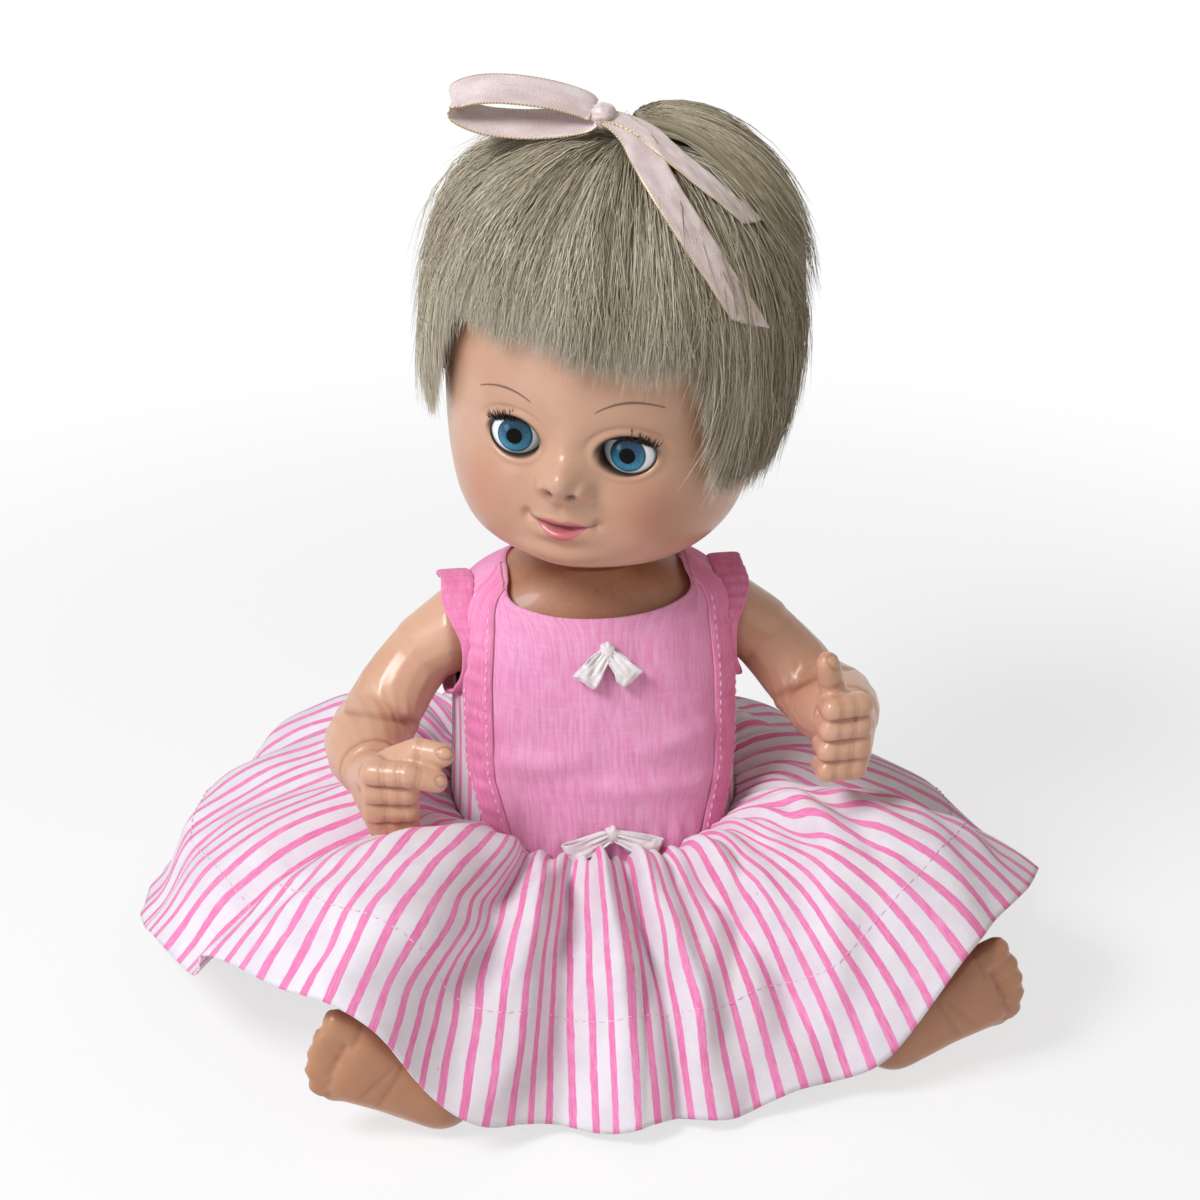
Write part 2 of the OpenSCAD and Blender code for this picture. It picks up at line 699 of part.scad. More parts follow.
// Binding round an armhole: it follows the cut edge of the bodice and stands out at the top
function edge_x(y, z) = let(
    c = torso_half(z),
    ry = (y < 0 ? c[2] * belly_depth : c[3] * back_depth) + bodice_off + cloth_t,
    rx = c[1] * torso_w / 2 + bodice_off + cloth_t,
    q = 1 - pow(min(abs(y) / ry, 0.98), torso_power)
) min(rx * pow(q, 1 / torso_power), shoulder_limit(z) + bodice_off + cloth_t);
module armhole_binding(side) {
    n = 24;
    r = armhole_r + 0.9;
    rings = [for (i = [0:n - 1]) let(
        c = cos(360 * i / n),
        o = [0, sin(360 * i / n), c],
        w = mix(3, 6, ease(ramp(c, -0.6, 0.6))),
        edge = max([for (q = [r - 0.7, r + 1.1]) edge_x(q * o[1], shoulder_z + q * c)]),
        p = [edge + 0.4 + w / 2 + 4.5 * ease(ramp(c, 0.2, 1)), r * o[1], shoulder_z + r * c]
    ) [
        p + [-w / 2, 0, 0] - o * 0.7, p + [w / 2, 0, 0] - o * 0.7,
        p + [w / 2, 0, 0] + o * 0.7, p + [-w / 2, 0, 0] + o * 0.7
    ]];
    color("violet") mirrored(side) polyhedron(
        points = [for (q = rings) each q],
        faces = [for (k = [0:n - 1]) each band_faces(((k + 1) % n) * 4, k * 4, 4)]
    );
}

// Skirt: phi runs round the waist and t from the waist to the hem
skirt_hem = [
    // angle from the front, reach share between front and side, hem height
    [0, 0.00, 6],
    [22, 0.12, 9],
    [33, 0.55, 20],
    [42, 1.00, 54],
    [52, 1.08, 62],
    [64, 1.05, 52],
    [78, 1.00, 28],
    [95, 1.00, 13],
    [130, 1.00, 7],
    [180, 1.00, 6]
];
function fold_wave(phi) = sin(fold_count * phi + 38 * sin(2 * phi + 25) + 20 * sin(3 * phi))
    * (0.75 + 0.25 * sin(5 * phi + 60));
function skirt_mid(phi, t) = let(
    q = phi > 180 ? 360 - phi : phi,
    h = curve(skirt_hem, q + leg_in(phi > 180 ? -1 : 1) * 0.5 * bell(q - 42, 26) * ramp(q, 0, 20)),
    side = mix(hem_front, hem_side, min(h[1], 1.08)),
    reach = mix(side, hem_back, ease(ramp(q, 80, 180))),
    w = torso_pt(phi, waist_at(phi), bodice_off + skirt_t / 2 + 0.2),
    e = [reach * sin(phi), -reach * cos(phi)],
    leg = bell(q - 40 + leg_in(phi > 180 ? -1 : 1) * 0.5, 26),
    s = pow(t, 0.92),
    fold = fold_wave(phi) * (1.2 + 4.2 * t) * ramp(t, 0, 0.08),
    lift = 4 * t * (1 - t) * (14 + 8 * leg) + 5 * bell(t - 0.12, 0.12) - 5 * bell(0.12, 0.12)
) [
    mix(w[0], e[0], s), mix(w[1], e[1], s),
    max(mix(w[2] - soft_gap, h[2], pow(t, 1.15)) + lift + fold * (0.5 + 0.5 * t), 2.2)
];
function skirt_normal(phi, t) = let(
    a = skirt_mid(phi + 0.6, t) - skirt_mid(phi - 0.6, t),
    b = skirt_mid(phi, min(t + 0.01, 1)) - skirt_mid(phi, max(t - 0.01, 0))
) unit(cross(b, a));
module skirt() {
    n = 100;
    shares = [0, 0.12, 0.36, 0.68, 1];
    ring = function(t, side) [for (i = [0:n - 1]) let(phi = 360 * i / n)
        skirt_mid(phi, t) + side * skirt_t / 2 * (t == 0 ? [sin(phi), -cos(phi), 0] : skirt_normal(phi, t))];
    rings = [for (t = shares) ring(t, 1), for (k = [len(shares) - 1:-1:0]) ring(shares[k], -1)];
    count = len(rings);
    color("white") polyhedron(
        points = [for (r = rings) each r],
        faces = [for (k = [0:count - 1]) each band_faces(((k + 1) % count) * n, k * n, n)]
    );
}

// Small ribbon bows on the bib
bow_ribbon = 7;
bow_knot_r = 2.6;
module bow(z, span, drop) {
    t = 0.6;
    y = torso_front_y(z) - bib_off - cloth_t - soft_gap - bow_knot_r;
    steps = 12;
    slope = atan((torso_front_y(z + 4) - torso_front_y(z - drop - 4)) / (drop + 8));
    color("snow") translate([0, y, z]) rotate([-slope, 0, 0]) {
        sphere(r = bow_knot_r);
        for (s = [-1, 1]) {
            loop = [for (i = [0:steps]) let(a = 180 * i / steps)
                [s * (1.6 + span * sin(a)), 1.3 * cos(a) * (0.4 + sin(a)) - 0.6 * sin(a), 0.8 * sin(a)]];
            tail = [for (i = [0:6]) let(u = i / 6)
                [s * (1.4 + 0.55 * span * u), 0.9 - 0.7 * sin(180 * u), -1.4 - drop * u]];
            skin(strip_rings(loop, [for (p = loop) [0, 0, s]], bow_ribbon * 0.9, t));
            skin(strip_rings(tail, [for (p = tail) [s * 0.8, 0, 0.5]], bow_ribbon * 0.8, t));
        }
    }
}
module chest_bow() { bow(neckline_z - 14, 9, 10); }
module waist_bow() { bow(waist_z + 11, 15, 4); }

// Head surface: phi 0 is the face, h the height over the neck
function skull_half(h) = h >= skull_mid_h
    ? let(k = sqrt(max(1 - pow((h - skull_mid_h) / crown_h, 2), 0.0004)))
        [k * skull_half_w, k * skull_front, k * skull_back]
    : let(c = curve(chin_profile, h / skull_mid_h))
        [c[1] * skull_half_w, c[2] * skull_front, c[3] * skull_back];
function face_relief(x, h) = let(ax = abs(x), e = h - eye_h)
    3.4 * bell(ax - 27, 14) * bell(e + 23, 14)
    + 8.6 * bell(x, 5) * bell(e + 7.5, 5) + 3 * bell(x, 4.5) * bell(e - 1, 8)
    + 2.4 * bell(ax - 4.6, 3) * bell(e + 10, 3.4)
    + 2.8 * bell(x, 8) * bell(e + 24, 3.2) + 2.8 * bell(x, 7) * bell(e + 30, 3)
    - 1.2 * bell(x, 8.5) * bell(e + 27, 1.6)
    + 3 * bell(x, 11) * bell(e + 40, 6)
    - 2.8 * bell(ax - eye_spacing / 2, 9) * bell(e, 8);
function head_base(phi, h) = let(s = skull_half(h))
    [s[0] * sin(phi), -cos(phi) * (cos(phi) > 0 ? s[1] : s[2]), h];
function head_pt(phi, h) = let(p = head_base(phi, h))
    [p[0], p[1] - ease(ramp(cos(phi), 0, 0.4)) * face_relief(p[0], h), h];
function out_dir(p) = p[2] >= skull_mid_h ? unit(p - skull_c) : unit([p[0], p[1], 0]);
function head_angle(i) = let(a = 360 * i / head_steps - 180) a - 30 * sin(a);
head_heights = [
    neck_base, 6.5, 9.5, 13,
    for (k = [0:15]) 17.5 + 4.5 * k,
    for (k = [1:5]) mix(17.5 + 4.5 * 15, skull_mid_h + 0.96 * crown_h, sin(90 * k / 5)),
    skull_mid_h + 0.995 * crown_h
];
inner_heights = [for (i = [len(head_heights) - 2:-3:1]) head_heights[i], neck_base];
module head_shell() {
    outer = [for (h = head_heights) [for (i = [0:head_steps - 1]) head_pt(head_angle(i), h)]];
    inner = [for (h = inner_heights) [for (i = [0:head_steps - 1])
        let(p = head_pt(head_angle(i), h)) p - head_wall * out_dir(p)]];
    hole = [for (i = [0:19]) [eye_open_w / 2 * cos(18 * i), eye_open_h / 2 * sin(18 * i)]];
    color("sandybrown") at_head() difference() {
        skin([for (k = [len(outer) - 1:-1:0]) [for (i = [head_steps - 1:-1:0]) outer[k][i]],
            for (k = [len(inner) - 1:-1:0]) [for (i = [head_steps - 1:-1:0]) inner[k][i]]]);
        for (s = [-1, 1])
            translate([s * eye_spacing / 2, eye_y, eye_h]) {
                rotate([90, 0, 0]) linear_extrude(40) polygon(hole);
                hull() sphere(r = eye_r + eye_gap + 0.25, $fn = 24);
            }
    }
}

// Eyes
module eye_casing(side) {
    r = eye_r + eye_gap + 0.1;
    color("white") at_eye(side) difference() {
        along_y(-1) cylinder(r = r + casing_wall, h = casing_len);
        along_y(-2) cylinder(r = r, h = casing_len + 4);
        along_x() cylinder(r = eye_pin_r + run_gap, h = 60, center = true);
    }
}
module eyeball(side) {
    pin = 2 * (eye_r + eye_gap + 0.1 + casing_wall) - 0.2;
    color("aliceblue") at_eye(side) union() {
        sphere(r = eye_r);
        along_x() cylinder(r = eye_pin_r, h = pin, center = true);
    }
}
module lashes(side) {
    n = 12;
    line = [for (i = [0:n]) let(
        x = mix(0.56, -0.56, i / n) * eye_open_w / 2,
        r = sqrt(eye_r * eye_r - x * x)
    ) [x, -r * cos(lash_angle), r * sin(lash_angle)]];
    rings = [for (p = line) let(o = unit([p[0] * 0.7, p[1], p[2]])) [
        p + o * 0.3 + [0, 0, -0.3], p + o * lash_reach + [0, 0, 0.1],
        p + o * lash_reach + [0, 0, 0.4], p + o * 0.3 + [0, 0, 0.3]
    ]];
    color("black") at_eye(side) skin(rings);
}
module eye_weight(side) {
    foot = eye_r * unit([0, 8, -7]);
    arm = weight_pos - foot;
    color("gray") at_eye(side) union() {
        translate(weight_pos) along_x() cylinder(r = weight_r, h = weight_w, center = true);
        translate(foot + 0.75 * unit(foot))
            rotate([atan2(-arm[1], arm[2]), 0, 0]) cylinder(r = 1.2, h = norm(arm) - 0.75);
    }
}

// Hair
hang_w = skull_half_w + hair_t;
function hair_half(h) = let(d = ramp(skull_mid_h - h, 0, skull_mid_h - side_hair_h))
    [skull_half_w + hair_t - 5 * d * d, skull_front + hair_t, skull_back + hair_t - 9 * d * d];
function hair_edge(phi) = let(a = abs(phi))
    mix(fringe_h - 4 * sin(phi), side_hair_h - 5 * ramp(a, 100, 180), ease(ramp(a, 44, 64)));
function hair_outer(phi, h, lift) = h >= skull_mid_h
    ? let(p = head_base(phi, h)) p + (hair_t + lift) * out_dir(p)
    : let(s = hair_half(h)) [s[0] * sin(phi), -cos(phi) * (cos(phi) > 0 ? s[1] : s[2]), h];
module hair_cap() {
    rows = 9;
    at_h = function(phi, t) let(
        e = hair_edge(phi),
        end = e >= skull_mid_h ? acos((e - skull_mid_h) / crown_h) : 90 + (skull_mid_h - e),
        a = mix(7.3, end, t)
    ) a <= 90 ? skull_mid_h + crown_h * cos(a) : skull_mid_h - (a - 90);
    angles = [for (i = [0:head_steps - 1]) head_angle(i)];
    outer = [for (k = [0:rows]) [for (a = angles)
        let(t = k / rows, h = at_h(a, t), p = hair_outer(a, h, 0), b = head_base(a, h),
            thin = 0.55 * ramp(t, 0.8, 1))
        mix(p, b, thin * (h > skull_mid_h ? 1 : 0.4))]];
    inner = [for (k = [rows:-1:0]) [for (a = angles)
        let(p = head_pt(a, at_h(a, k / rows))) p + (1.8 + 1.3 * bell(abs(a) - 54, 16)) * out_dir(p)]];
    color("darkkhaki") at_head() skin([each [for (k = [len(inner) - 1:-1:0]) inner[k]],
        each [for (k = [rows:-1:0]) outer[k]]]);
}
// Distance from the skull centre to the hair in a direction over the widest ring
function hair_reach(d) = hair_t + 1 / sqrt(pow(d[0] / skull_half_w, 2)
    + pow(d[1] / (d[1] < 0 ? skull_front : skull_back), 2) + pow(d[2] / crown_h, 2));
function over_hair(polar, azimuth, cross_angle, lift) = let(
    a = [cos(azimuth), sin(azimuth), 0],
    b = [-sin(azimuth), cos(azimuth), 0],
    d = unit([0, 0, cos(polar)] + a * sin(polar) + b * tan(cross_angle))
) skull_c + d * (hair_reach(d) + lift);
tail_azimuth = 24;
module ponytail() {
    rows = 10;
    cols = 8;
    spread = function(t) 4 + 22 * pow(sin(min(1, 1.5 * t) * 90), 1.6) - 11 * t * t;
    rise = function(t, u) ponytail_t * sqrt(max(1 - u * u, 0.02))
        * (0.45 + 0.75 * sin(180 * pow(t, 0.6))) * (1 - 0.6 * pow(t, 6));
    grid = function(top) [for (k = [0:rows]) let(t = k / rows) [for (i = [0:cols]) let(u = 2 * i / cols - 1)
        over_hair(mix(1, 72, t), tail_azimuth, spread(t) * u, 0.5 + top * rise(t, u))]];
    color("khaki") at_head() patch(grid(1), grid(0));
}
module hair_ribbon() {
    thick = 0.8;
    knot_r = 4.4;
    knot = over_hair(-8, tail_azimuth, -3, 0.4 + knot_r);
    reach = [-0.96, -0.27, 0];
    wide = [0.27, -0.96, 0.1];
    steps = 14;
    loop = [for (i = [0:steps]) let(a = 340 * (i / steps) - 170, s = 0.5 * (1 + cos(a)))
        knot + reach * (knot_r + 0.4 + 44 * s) + [0, 0, 1 + sin(a) * (4.6 + 2 * s)]];
    strand = function(az0, az1, end, lift) [for (i = [0:10]) let(u = i / 10)
        over_hair(mix(8, end, u), mix(az0, az1, u), 0, lift + thick / 2 + 3 * bell(u, 0.12))];
    out = function(path) [for (i = [0:len(path) - 1]) let(
        d = unit(path[min(i + 1, len(path) - 1)] - path[max(i - 1, 0)])
    ) cross(unit(path[i] - skull_c), d)];
    long_tail = strand(-75, -29, 74, 0.7);
    color("mistyrose") at_head() {
        translate(knot) sphere(r = knot_r);
        skin(strip_rings(loop, [for (p = loop) wide], ribbon_w, thick));
        skin(strip_rings(long_tail, out(long_tail), ribbon_w * 0.9, thick));
    }
}

// Arms: x points out of the shoulder, and the palm side faces the body
arm_path = [
    [0, 13, 0, -5, 12.2], [0.3, 24, -4, -17.5, 13.2], [0.5, 31.5, -11, -27.5, 14.4],
    [0.66, 36.5, -22, -30, 15.2], [0.86, 36.5, -36, -29, 13], [1, 35.5, -46, -28, 10.8]
];
wrist = [35.5, -46, -28];
module bead(p, r, n = 9) { translate(p) sphere(r = r, $fn = n); }
module finger(k, m, t, r) {
    hull() {
        bead(k, r);
        bead(m, r * 0.97);
    }
    hull() {
        bead(m, r * 0.97);
        bead(t, r * 0.86);
    }
}
module hand(pointing) {
    top = wrist[2] + 9.5;
    hull() {
        bead(wrist + [0.5, -3, 0], 9.6, 14);
        bead(wrist + [0, -15, 8], 6);
        bead(wrist + [0, -14, -9], 5.6);
        bead(wrist + [-5, -12, -1], 7);
    }
    hull() {
        bead(wrist + [-5, -16, 7], 4.5);
        bead(wrist + [-5, -16, -10], 4);
    }
    for (i = [0:3]) {
        r = [4.7, 4.8, 4.6, 4.1][i];
        open = pointing && i == 0;
        k = [wrist[0] + 1.5 - 0.5 * i, wrist[1] - 17 + 0.8 * i, top - finger_pitch * i];
        m = k + (open ? [-11, -4, 0.5] : [-10.5, -3.4 + 0.6 * i, 0]);
        t = m + (open ? [-10, -0.5, -3] : [-0.5, 8.5, 0]);
        finger(k, m, t, r);
    }
    thumb = wrist + [-5, -9, 9];
    finger(thumb, thumb + (pointing ? [-9, -5, 6] : [-3, -5, 8]), thumb + (pointing ? [-17, -9, 6] : [-5, -9, 16]), 5);
}
module arm(side) {
    color("peachpuff") at_shoulder(side) difference() {
        union() {
            hull() {
                translate([limb_gap, 0, 0]) along_x() cylinder(r = arm_r - 2, h = 0.5, $fn = 20);
                translate([6, 0, 0]) along_x() cylinder(r = arm_r - 0.4, h = 1, $fn = 20);
                bead([arm_r - 2.3, -1, -5], arm_r - 2.9, 18);
            }
            skin(tube_rings(arm_path, 9, 16, [0, 0.6, 1]));
            hand(side < 0);
        }
        translate([-1, 0, 0]) along_x() cylinder(r = hub_r + soft_gap, h = 1 + limb_gap + hub_t + seat_gap, $fn = 24);
    }
}

// Legs, written for the doll's left side in the doll's own frame
thigh_k = thigh_r / 23;
function leg_in(side) = side < 0 ? right_foot_in : -left_foot_out;
function leg_row(t, x, y, r, lift) = [t, hip_x + x, y, r * thigh_k + lift, r * thigh_k];
// A leg is sheared in plan: a point as far forward as the heel moves by the whole swing
function swung(row, side) = let(k = pow(max(-row[2], 0) / 104, 1.6) * leg_in(side))
    [row[0], row[1] - k, row[2] - k * 0.5, row[3], row[4]];
leg_path = [
    leg_row(0, 20, -4, 20.5, 1.3), leg_row(0.25, 25, -26, 20.8, 1), leg_row(0.5, 31, -52, 19, 1.4),
    leg_row(0.7, 36, -74, 18, 1.2), leg_row(0.88, 41, -92, 14.4, 2.2), leg_row(1, 44, -101, 13, 2)
];
heel_r = 12.8;
function heel_at(side) = [hip_x + 45 - leg_in(side), -104 - leg_in(side) * 0.5, heel_r + 0.6];
thigh_bead_r = thigh_r - 2.4;
thigh_bead_x = thigh_r - 1.5;
thigh_bead_z = (thigh_bead_r + 0.45 - hip_z + thigh_bead_x * sin(hip_tilt)) / cos(hip_tilt);
foot_dir = [0.86, 0, 0.51];
foot_across = [-0.51, 0, 0.86];
module foot(side) {
    heel = heel_at(side);
    ball = heel + foot_dir * foot_len * 0.8 + [0, -3, 0];
    mid = heel + foot_dir * foot_len * 0.42 + [0, -1, 0];
    hull() {
        bead(heel, heel_r, 16);
        bead(mid + foot_across * 3, 10.5, 14);
        bead(mid - foot_across * 4, 9.5, 14);
    }
    hull() {
        bead(mid + foot_across * 3, 10.2, 14);
        bead(mid - foot_across * 4, 9.5, 14);
        bead(ball + foot_across * 9, 8, 12);
        bead(ball - foot_across * 7, 7.6, 12);
    }
    for (i = [0:4]) {
        r = [5.4, 4.4, 4.2, 4, 3.7][i];
        base = heel + foot_dir * (foot_len * [0.86, 0.9, 0.89, 0.86, 0.8][i])
            + foot_across * [12, 4.6, -1.6, -7.4, -12.4][i] + [0, -4, 0];
        hull() {
            bead(base, r);
            bead(base + foot_dir * [10, 9, 8.4, 7.6, 6.4][i], r * 0.92);
        }
    }
}
module leg(side) {
    color("bisque") mirrored(side) difference() {
        union() {
            translate([hip_x, 0, hip_z]) rotate([0, hip_tilt, 0]) hull() {
                translate([limb_gap, 0, 0]) along_x() cylinder(r = thigh_r - 4, h = 0.5, $fn = 24);
                translate([9, 0, 0]) along_x() cylinder(r = thigh_r, h = 1, $fn = 24);
                bead([thigh_bead_x, -3, thigh_bead_z], thigh_bead_r, 22);
            }
            skin(tube_rings([for (row = leg_path) swung(row, side)], 9, 18, [0, 0, 1]));
            foot(side);
        }
        translate([hip_x, 0, hip_z]) rotate([0, hip_tilt, 0]) translate([-1, 0, 0]) along_x()
            cylinder(r = hub_r + soft_gap, h = 1 + limb_gap + hub_t + seat_gap, $fn = 24);
    }
}

torso_front_shell();
torso_rear_shell();
shell_screws();
battery_door();
door_screw();
battery_box();
battery_cells();
battery_contacts();
circuit_board();
sound_chip();
tilt_switch();
speaker_frame();
speaker_cone();
speaker_magnet();
switch_housing();
switch_knob();
neck_bush();
shoulder_bush(-1);  // right_shoulder_bush
shoulder_bush(1);  // left_shoulder_bush
hip_bush(-1);  // right_hip_bush
hip_bush(1);  // left_hip_bush
bodice();
bib_panel();
bib_binding(-1);  // right_bib_binding
bib_binding(1);  // left_bib_binding
armhole_binding(-1);  // right_armhole_binding
armhole_binding(1);  // left_armhole_binding
skirt();
chest_bow();
waist_bow();
head_shell();
neck_spindle();
hair_cap();
ponytail();
hair_ribbon();
eye_casing(-1);  // right_eye_casing
eye_casing(1);  // left_eye_casing
eyeball(-1);  // right_eyeball
eyeball(1);  // left_eyeball
lashes(-1);  // right_lashes
lashes(1);  // left_lashes
eye_weight(-1);  // right_eye_weight
eye_weight(1);  // left_eye_weight
arm(-1);  // right_arm
arm(1);  // left_arm
arm_hub(-1);  // right_arm_hub
arm_hub(1);  // left_arm_hub
leg(-1);  // right_leg
leg(1);  // left_leg
leg_hub(-1);  // right_leg_hub
leg_hub(1);  // left_leg_hub
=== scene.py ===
import json
import math

import bmesh
import bpy
import numpy as np
from mathutils import Matrix, Vector, noise


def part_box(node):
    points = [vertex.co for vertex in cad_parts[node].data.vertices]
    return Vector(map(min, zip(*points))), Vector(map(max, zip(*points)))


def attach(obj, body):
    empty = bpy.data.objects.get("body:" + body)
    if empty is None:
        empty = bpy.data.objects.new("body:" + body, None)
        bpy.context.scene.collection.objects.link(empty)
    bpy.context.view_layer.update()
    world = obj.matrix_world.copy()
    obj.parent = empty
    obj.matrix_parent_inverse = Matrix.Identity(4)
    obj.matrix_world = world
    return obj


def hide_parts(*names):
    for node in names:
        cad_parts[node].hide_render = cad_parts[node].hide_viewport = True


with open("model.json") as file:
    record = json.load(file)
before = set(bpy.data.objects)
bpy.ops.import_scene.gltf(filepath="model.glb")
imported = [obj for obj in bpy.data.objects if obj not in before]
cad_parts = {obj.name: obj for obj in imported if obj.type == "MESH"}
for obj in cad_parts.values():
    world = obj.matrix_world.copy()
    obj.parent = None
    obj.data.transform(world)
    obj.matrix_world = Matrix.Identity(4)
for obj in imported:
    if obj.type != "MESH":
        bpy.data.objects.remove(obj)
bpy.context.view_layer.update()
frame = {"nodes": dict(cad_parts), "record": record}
mm = 0.001
weldGap = 2e-6  # metres
waveMm = 6283  # over a length in millimetres, gives waves of that length on a map in metres
sides = ((-1, "right"), (1, "left"))  # the doll's own right is at -x
chance = np.random.default_rng(41)
scene = bpy.context.scene
scene.view_settings.view_transform = "Standard"
print("doll: frame loaded,", len(frame["nodes"]), "solids")


# Small sums used all over the doll
def ramp(v, a, b):
    return max(0.0, min(1.0, (v - a) / (b - a)))


def ease(t):
    return t * t * (3 - 2 * t)


def lerp(a, b, t):
    return a + (b - a) * t


def bell(v, w):
    return math.exp(-(v / w) * (v / w))


def powered(v, p):
    return math.copysign(abs(v) ** p, v)


def sinD(a):
    return math.sin(math.radians(a))


def cosD(a):
    return math.cos(math.radians(a))


def lapped(a):  # the same turn, from -180 to 180 degrees
    return (a + 180) % 360 - 180


def rough3(x, y, z, size):  # smooth noise, -1 to 1
    return noise.noise(Vector((x / size, y / size, z / size)))


def rowCurve(rows, t):  # smooth curve through rows, first entry is the place along it
    i = 0
    while i < len(rows) - 2 and t >= rows[i + 1][0]:
        i += 1

    def slope(k):
        lo, hi = rows[max(k - 1, 0)], rows[min(k + 1, len(rows) - 1)]
        return (hi - lo) / (hi[0] - lo[0])

    h = rows[i + 1][0] - rows[i][0]
    s = (t - rows[i][0]) / h
    s2, s3 = s * s, s * s * s
    return (rows[i] * (2 * s3 - 3 * s2 + 1) + slope(i) * h * (s3 - 2 * s2 + s)
            + rows[i + 1] * (3 * s2 - 2 * s3) + slope(i + 1) * h * (s3 - s2))


# Shader sums: a wire is a socket that Python's operators work on
class Wire:
    def __init__(self, tree, socket=None):
        self.tree, self.socket = tree, socket

    def add(self, kind, settings=None, inputs=None, out=0):
        node = self.tree.nodes.new("ShaderNode" + kind)
        for key, value in (settings or {}).items():
            if key == "stops":
                stops = node.color_ramp.elements
                while len(stops) < len(value):
                    stops.new(0.5)
                for stop, (place, colour) in zip(stops, value):
                    stop.position, stop.color = place, colour
            else:
                setattr(node, key, value)
        for key, value in (inputs or {}).items():
            if isinstance(value, Wire):
                self.tree.links.new(value.socket, node.inputs[key])
            elif value is not None:
                node.inputs[key].default_value = value
        return Wire(self.tree, node.outputs[out])

    def sum(self, operation, *values):
        return self.add("Math", {"operation": operation}, dict(enumerate(values)))

    def __add__(self, other):
        return self.sum("ADD", self, other)

    def __radd__(self, other):
        return self.sum("ADD", other, self)

    def __sub__(self, other):
        return self.sum("SUBTRACT", self, other)

    def __rsub__(self, other):
        return self.sum("SUBTRACT", other, self)

    def __mul__(self, other):
        return self.sum("MULTIPLY", self, other)

    def __rmul__(self, other):
        return self.sum("MULTIPLY", other, self)

    def __truediv__(self, other):
        return self.sum("DIVIDE", self, other)

    def __rtruediv__(self, other):
        return self.sum("DIVIDE", other, self)

    def __pow__(self, other):
        return self.sum("POWER", self, other)

    def __rpow__(self, other):
        return self.sum("POWER", other, self)

    def __abs__(self):
        return self.sum("ABSOLUTE", self)

    def top(self, other):
        return self.sum("MAXIMUM", self, other)

    def low(self, other):
        return self.sum("MINIMUM", self, other)

    def fract(self):
        return self.sum("FRACT", self)

    def wave(self):
        return self.sum("SINE", self)

    def step(self, a, b):  # soft step from 0 at a to 1 at b
        return self.add("MapRange", {"interpolation_type": "SMOOTHSTEP"},
                        {"Value": self, "From Min": a, "From Max": b})

    def hump(self, width):  # soft bump round zero
        return math.e ** (0 - (self / width) * (self / width))

    def tinted(self, a, b):  # colour a at 0, colour b at 1
        return self.add("Mix", {"data_type": "RGBA"}, {0: self, 6: a, 7: b}, 2)

    def noisy(self, scale, detail=2.0, rough=0.5):
        inputs = {"Vector": self, "Scale": scale, "Detail": detail, "Roughness": rough}
        return self.add("TexNoise", {}, inputs)

    def split(self):
        return [self.add("SeparateXYZ", {}, {0: self}, k) for k in range(3)]

    def stretched(self, x, y, z):
        return self.add("Mapping", {}, {"Vector": self, "Scale": (x, y, z)})


def tint(code):  # a screen colour as linear numbers
    parts = [int(code[k:k + 2], 16) / 255 for k in (0, 2, 4)]
    return tuple(c / 12.92 if c < 0.04045 else ((c + 0.055) / 1.055) ** 2.4 for c in parts) + (1.0,)


class Finish:
    def __init__(self, name, fixed=None):
        self.material = bpy.data.materials.new(name)
        self.material.use_nodes = True
        self.tree = self.material.node_tree
        self.shader = self.tree.nodes["Principled BSDF"]
        self.start = Wire(self.tree)
        for key, value in (fixed or {}).items():
            self.shader.inputs[key].default_value = value

    def place(self):
        return self.start.add("TexCoord", {}, {}, "Object")

    def sheetMap(self, name):
        return self.start.add("UVMap", {"uv_map": name})

    def feed(self, key, wire):
        self.tree.links.new(wire.socket, self.shader.inputs[key])

    def dent(self, height, strength, distance):
        bump = self.start.add("Bump", {}, {"Height": height, "Strength": strength, "Distance": distance})
        self.feed("Normal", bump)


# Pieces
def keep(name, bm, finish, body):
    mesh = bpy.data.meshes.new(name)
    bm.to_mesh(mesh)
    bm.free()
    mesh.shade_smooth()
    return seat(bpy.data.objects.new(name, mesh), finish, body)


def seat(obj, finish, body):
    if obj.name not in scene.collection.objects:
        scene.collection.objects.link(obj)
    obj.data.materials.clear()
    obj.data.materials.append(finish.material)
    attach(obj, body)
    return obj


def sheetGrid(cols, rows, place, cloth=None, closed=False):
    bm = bmesh.new()
    layer = bm.loops.layers.uv.new("cloth")
    bmesh.ops.create_grid(bm, x_segments=cols, y_segments=rows, size=0.5)
    share = {v: (v.co.x + 0.5, v.co.y + 0.5) for v in bm.verts}
    for face in bm.faces:
        for loop in face.loops:
            s, t = share[loop.vert]
            loop[layer].uv = cloth(s, t) if cloth else (s, t)
    for v, (s, t) in share.items():
        v.co = Vector(place(s, t)) * mm
    if closed:
        bmesh.ops.remove_doubles(bm, verts=bm.verts, dist=weldGap)
    bmesh.ops.recalc_face_normals(bm, faces=bm.faces)
    return bm


def thicken(obj, thick, offset=0.0):
    wall = obj.modifiers.new("wall", "SOLIDIFY")
    wall.thickness, wall.offset = thick * mm, offset
    wall.use_even_offset = False
    return obj


def readArray(items, key, width, kind=np.float32):
    values = np.empty(len(items) * width, kind)
    items.foreach_get(key, values)
    return values.reshape(-1, width)


def clothArea(obj):
    return sum(p.area for p in obj.data.polygons)


# Camera, light and floor
view = {"azimuth": -8, "elevation": 27, "distance": 1.0, "target": (0, -0.02, 0.14), "lens": 87,
        "sensor": 36, "lift": 0.0125, "near": 0.05, "far": 30}


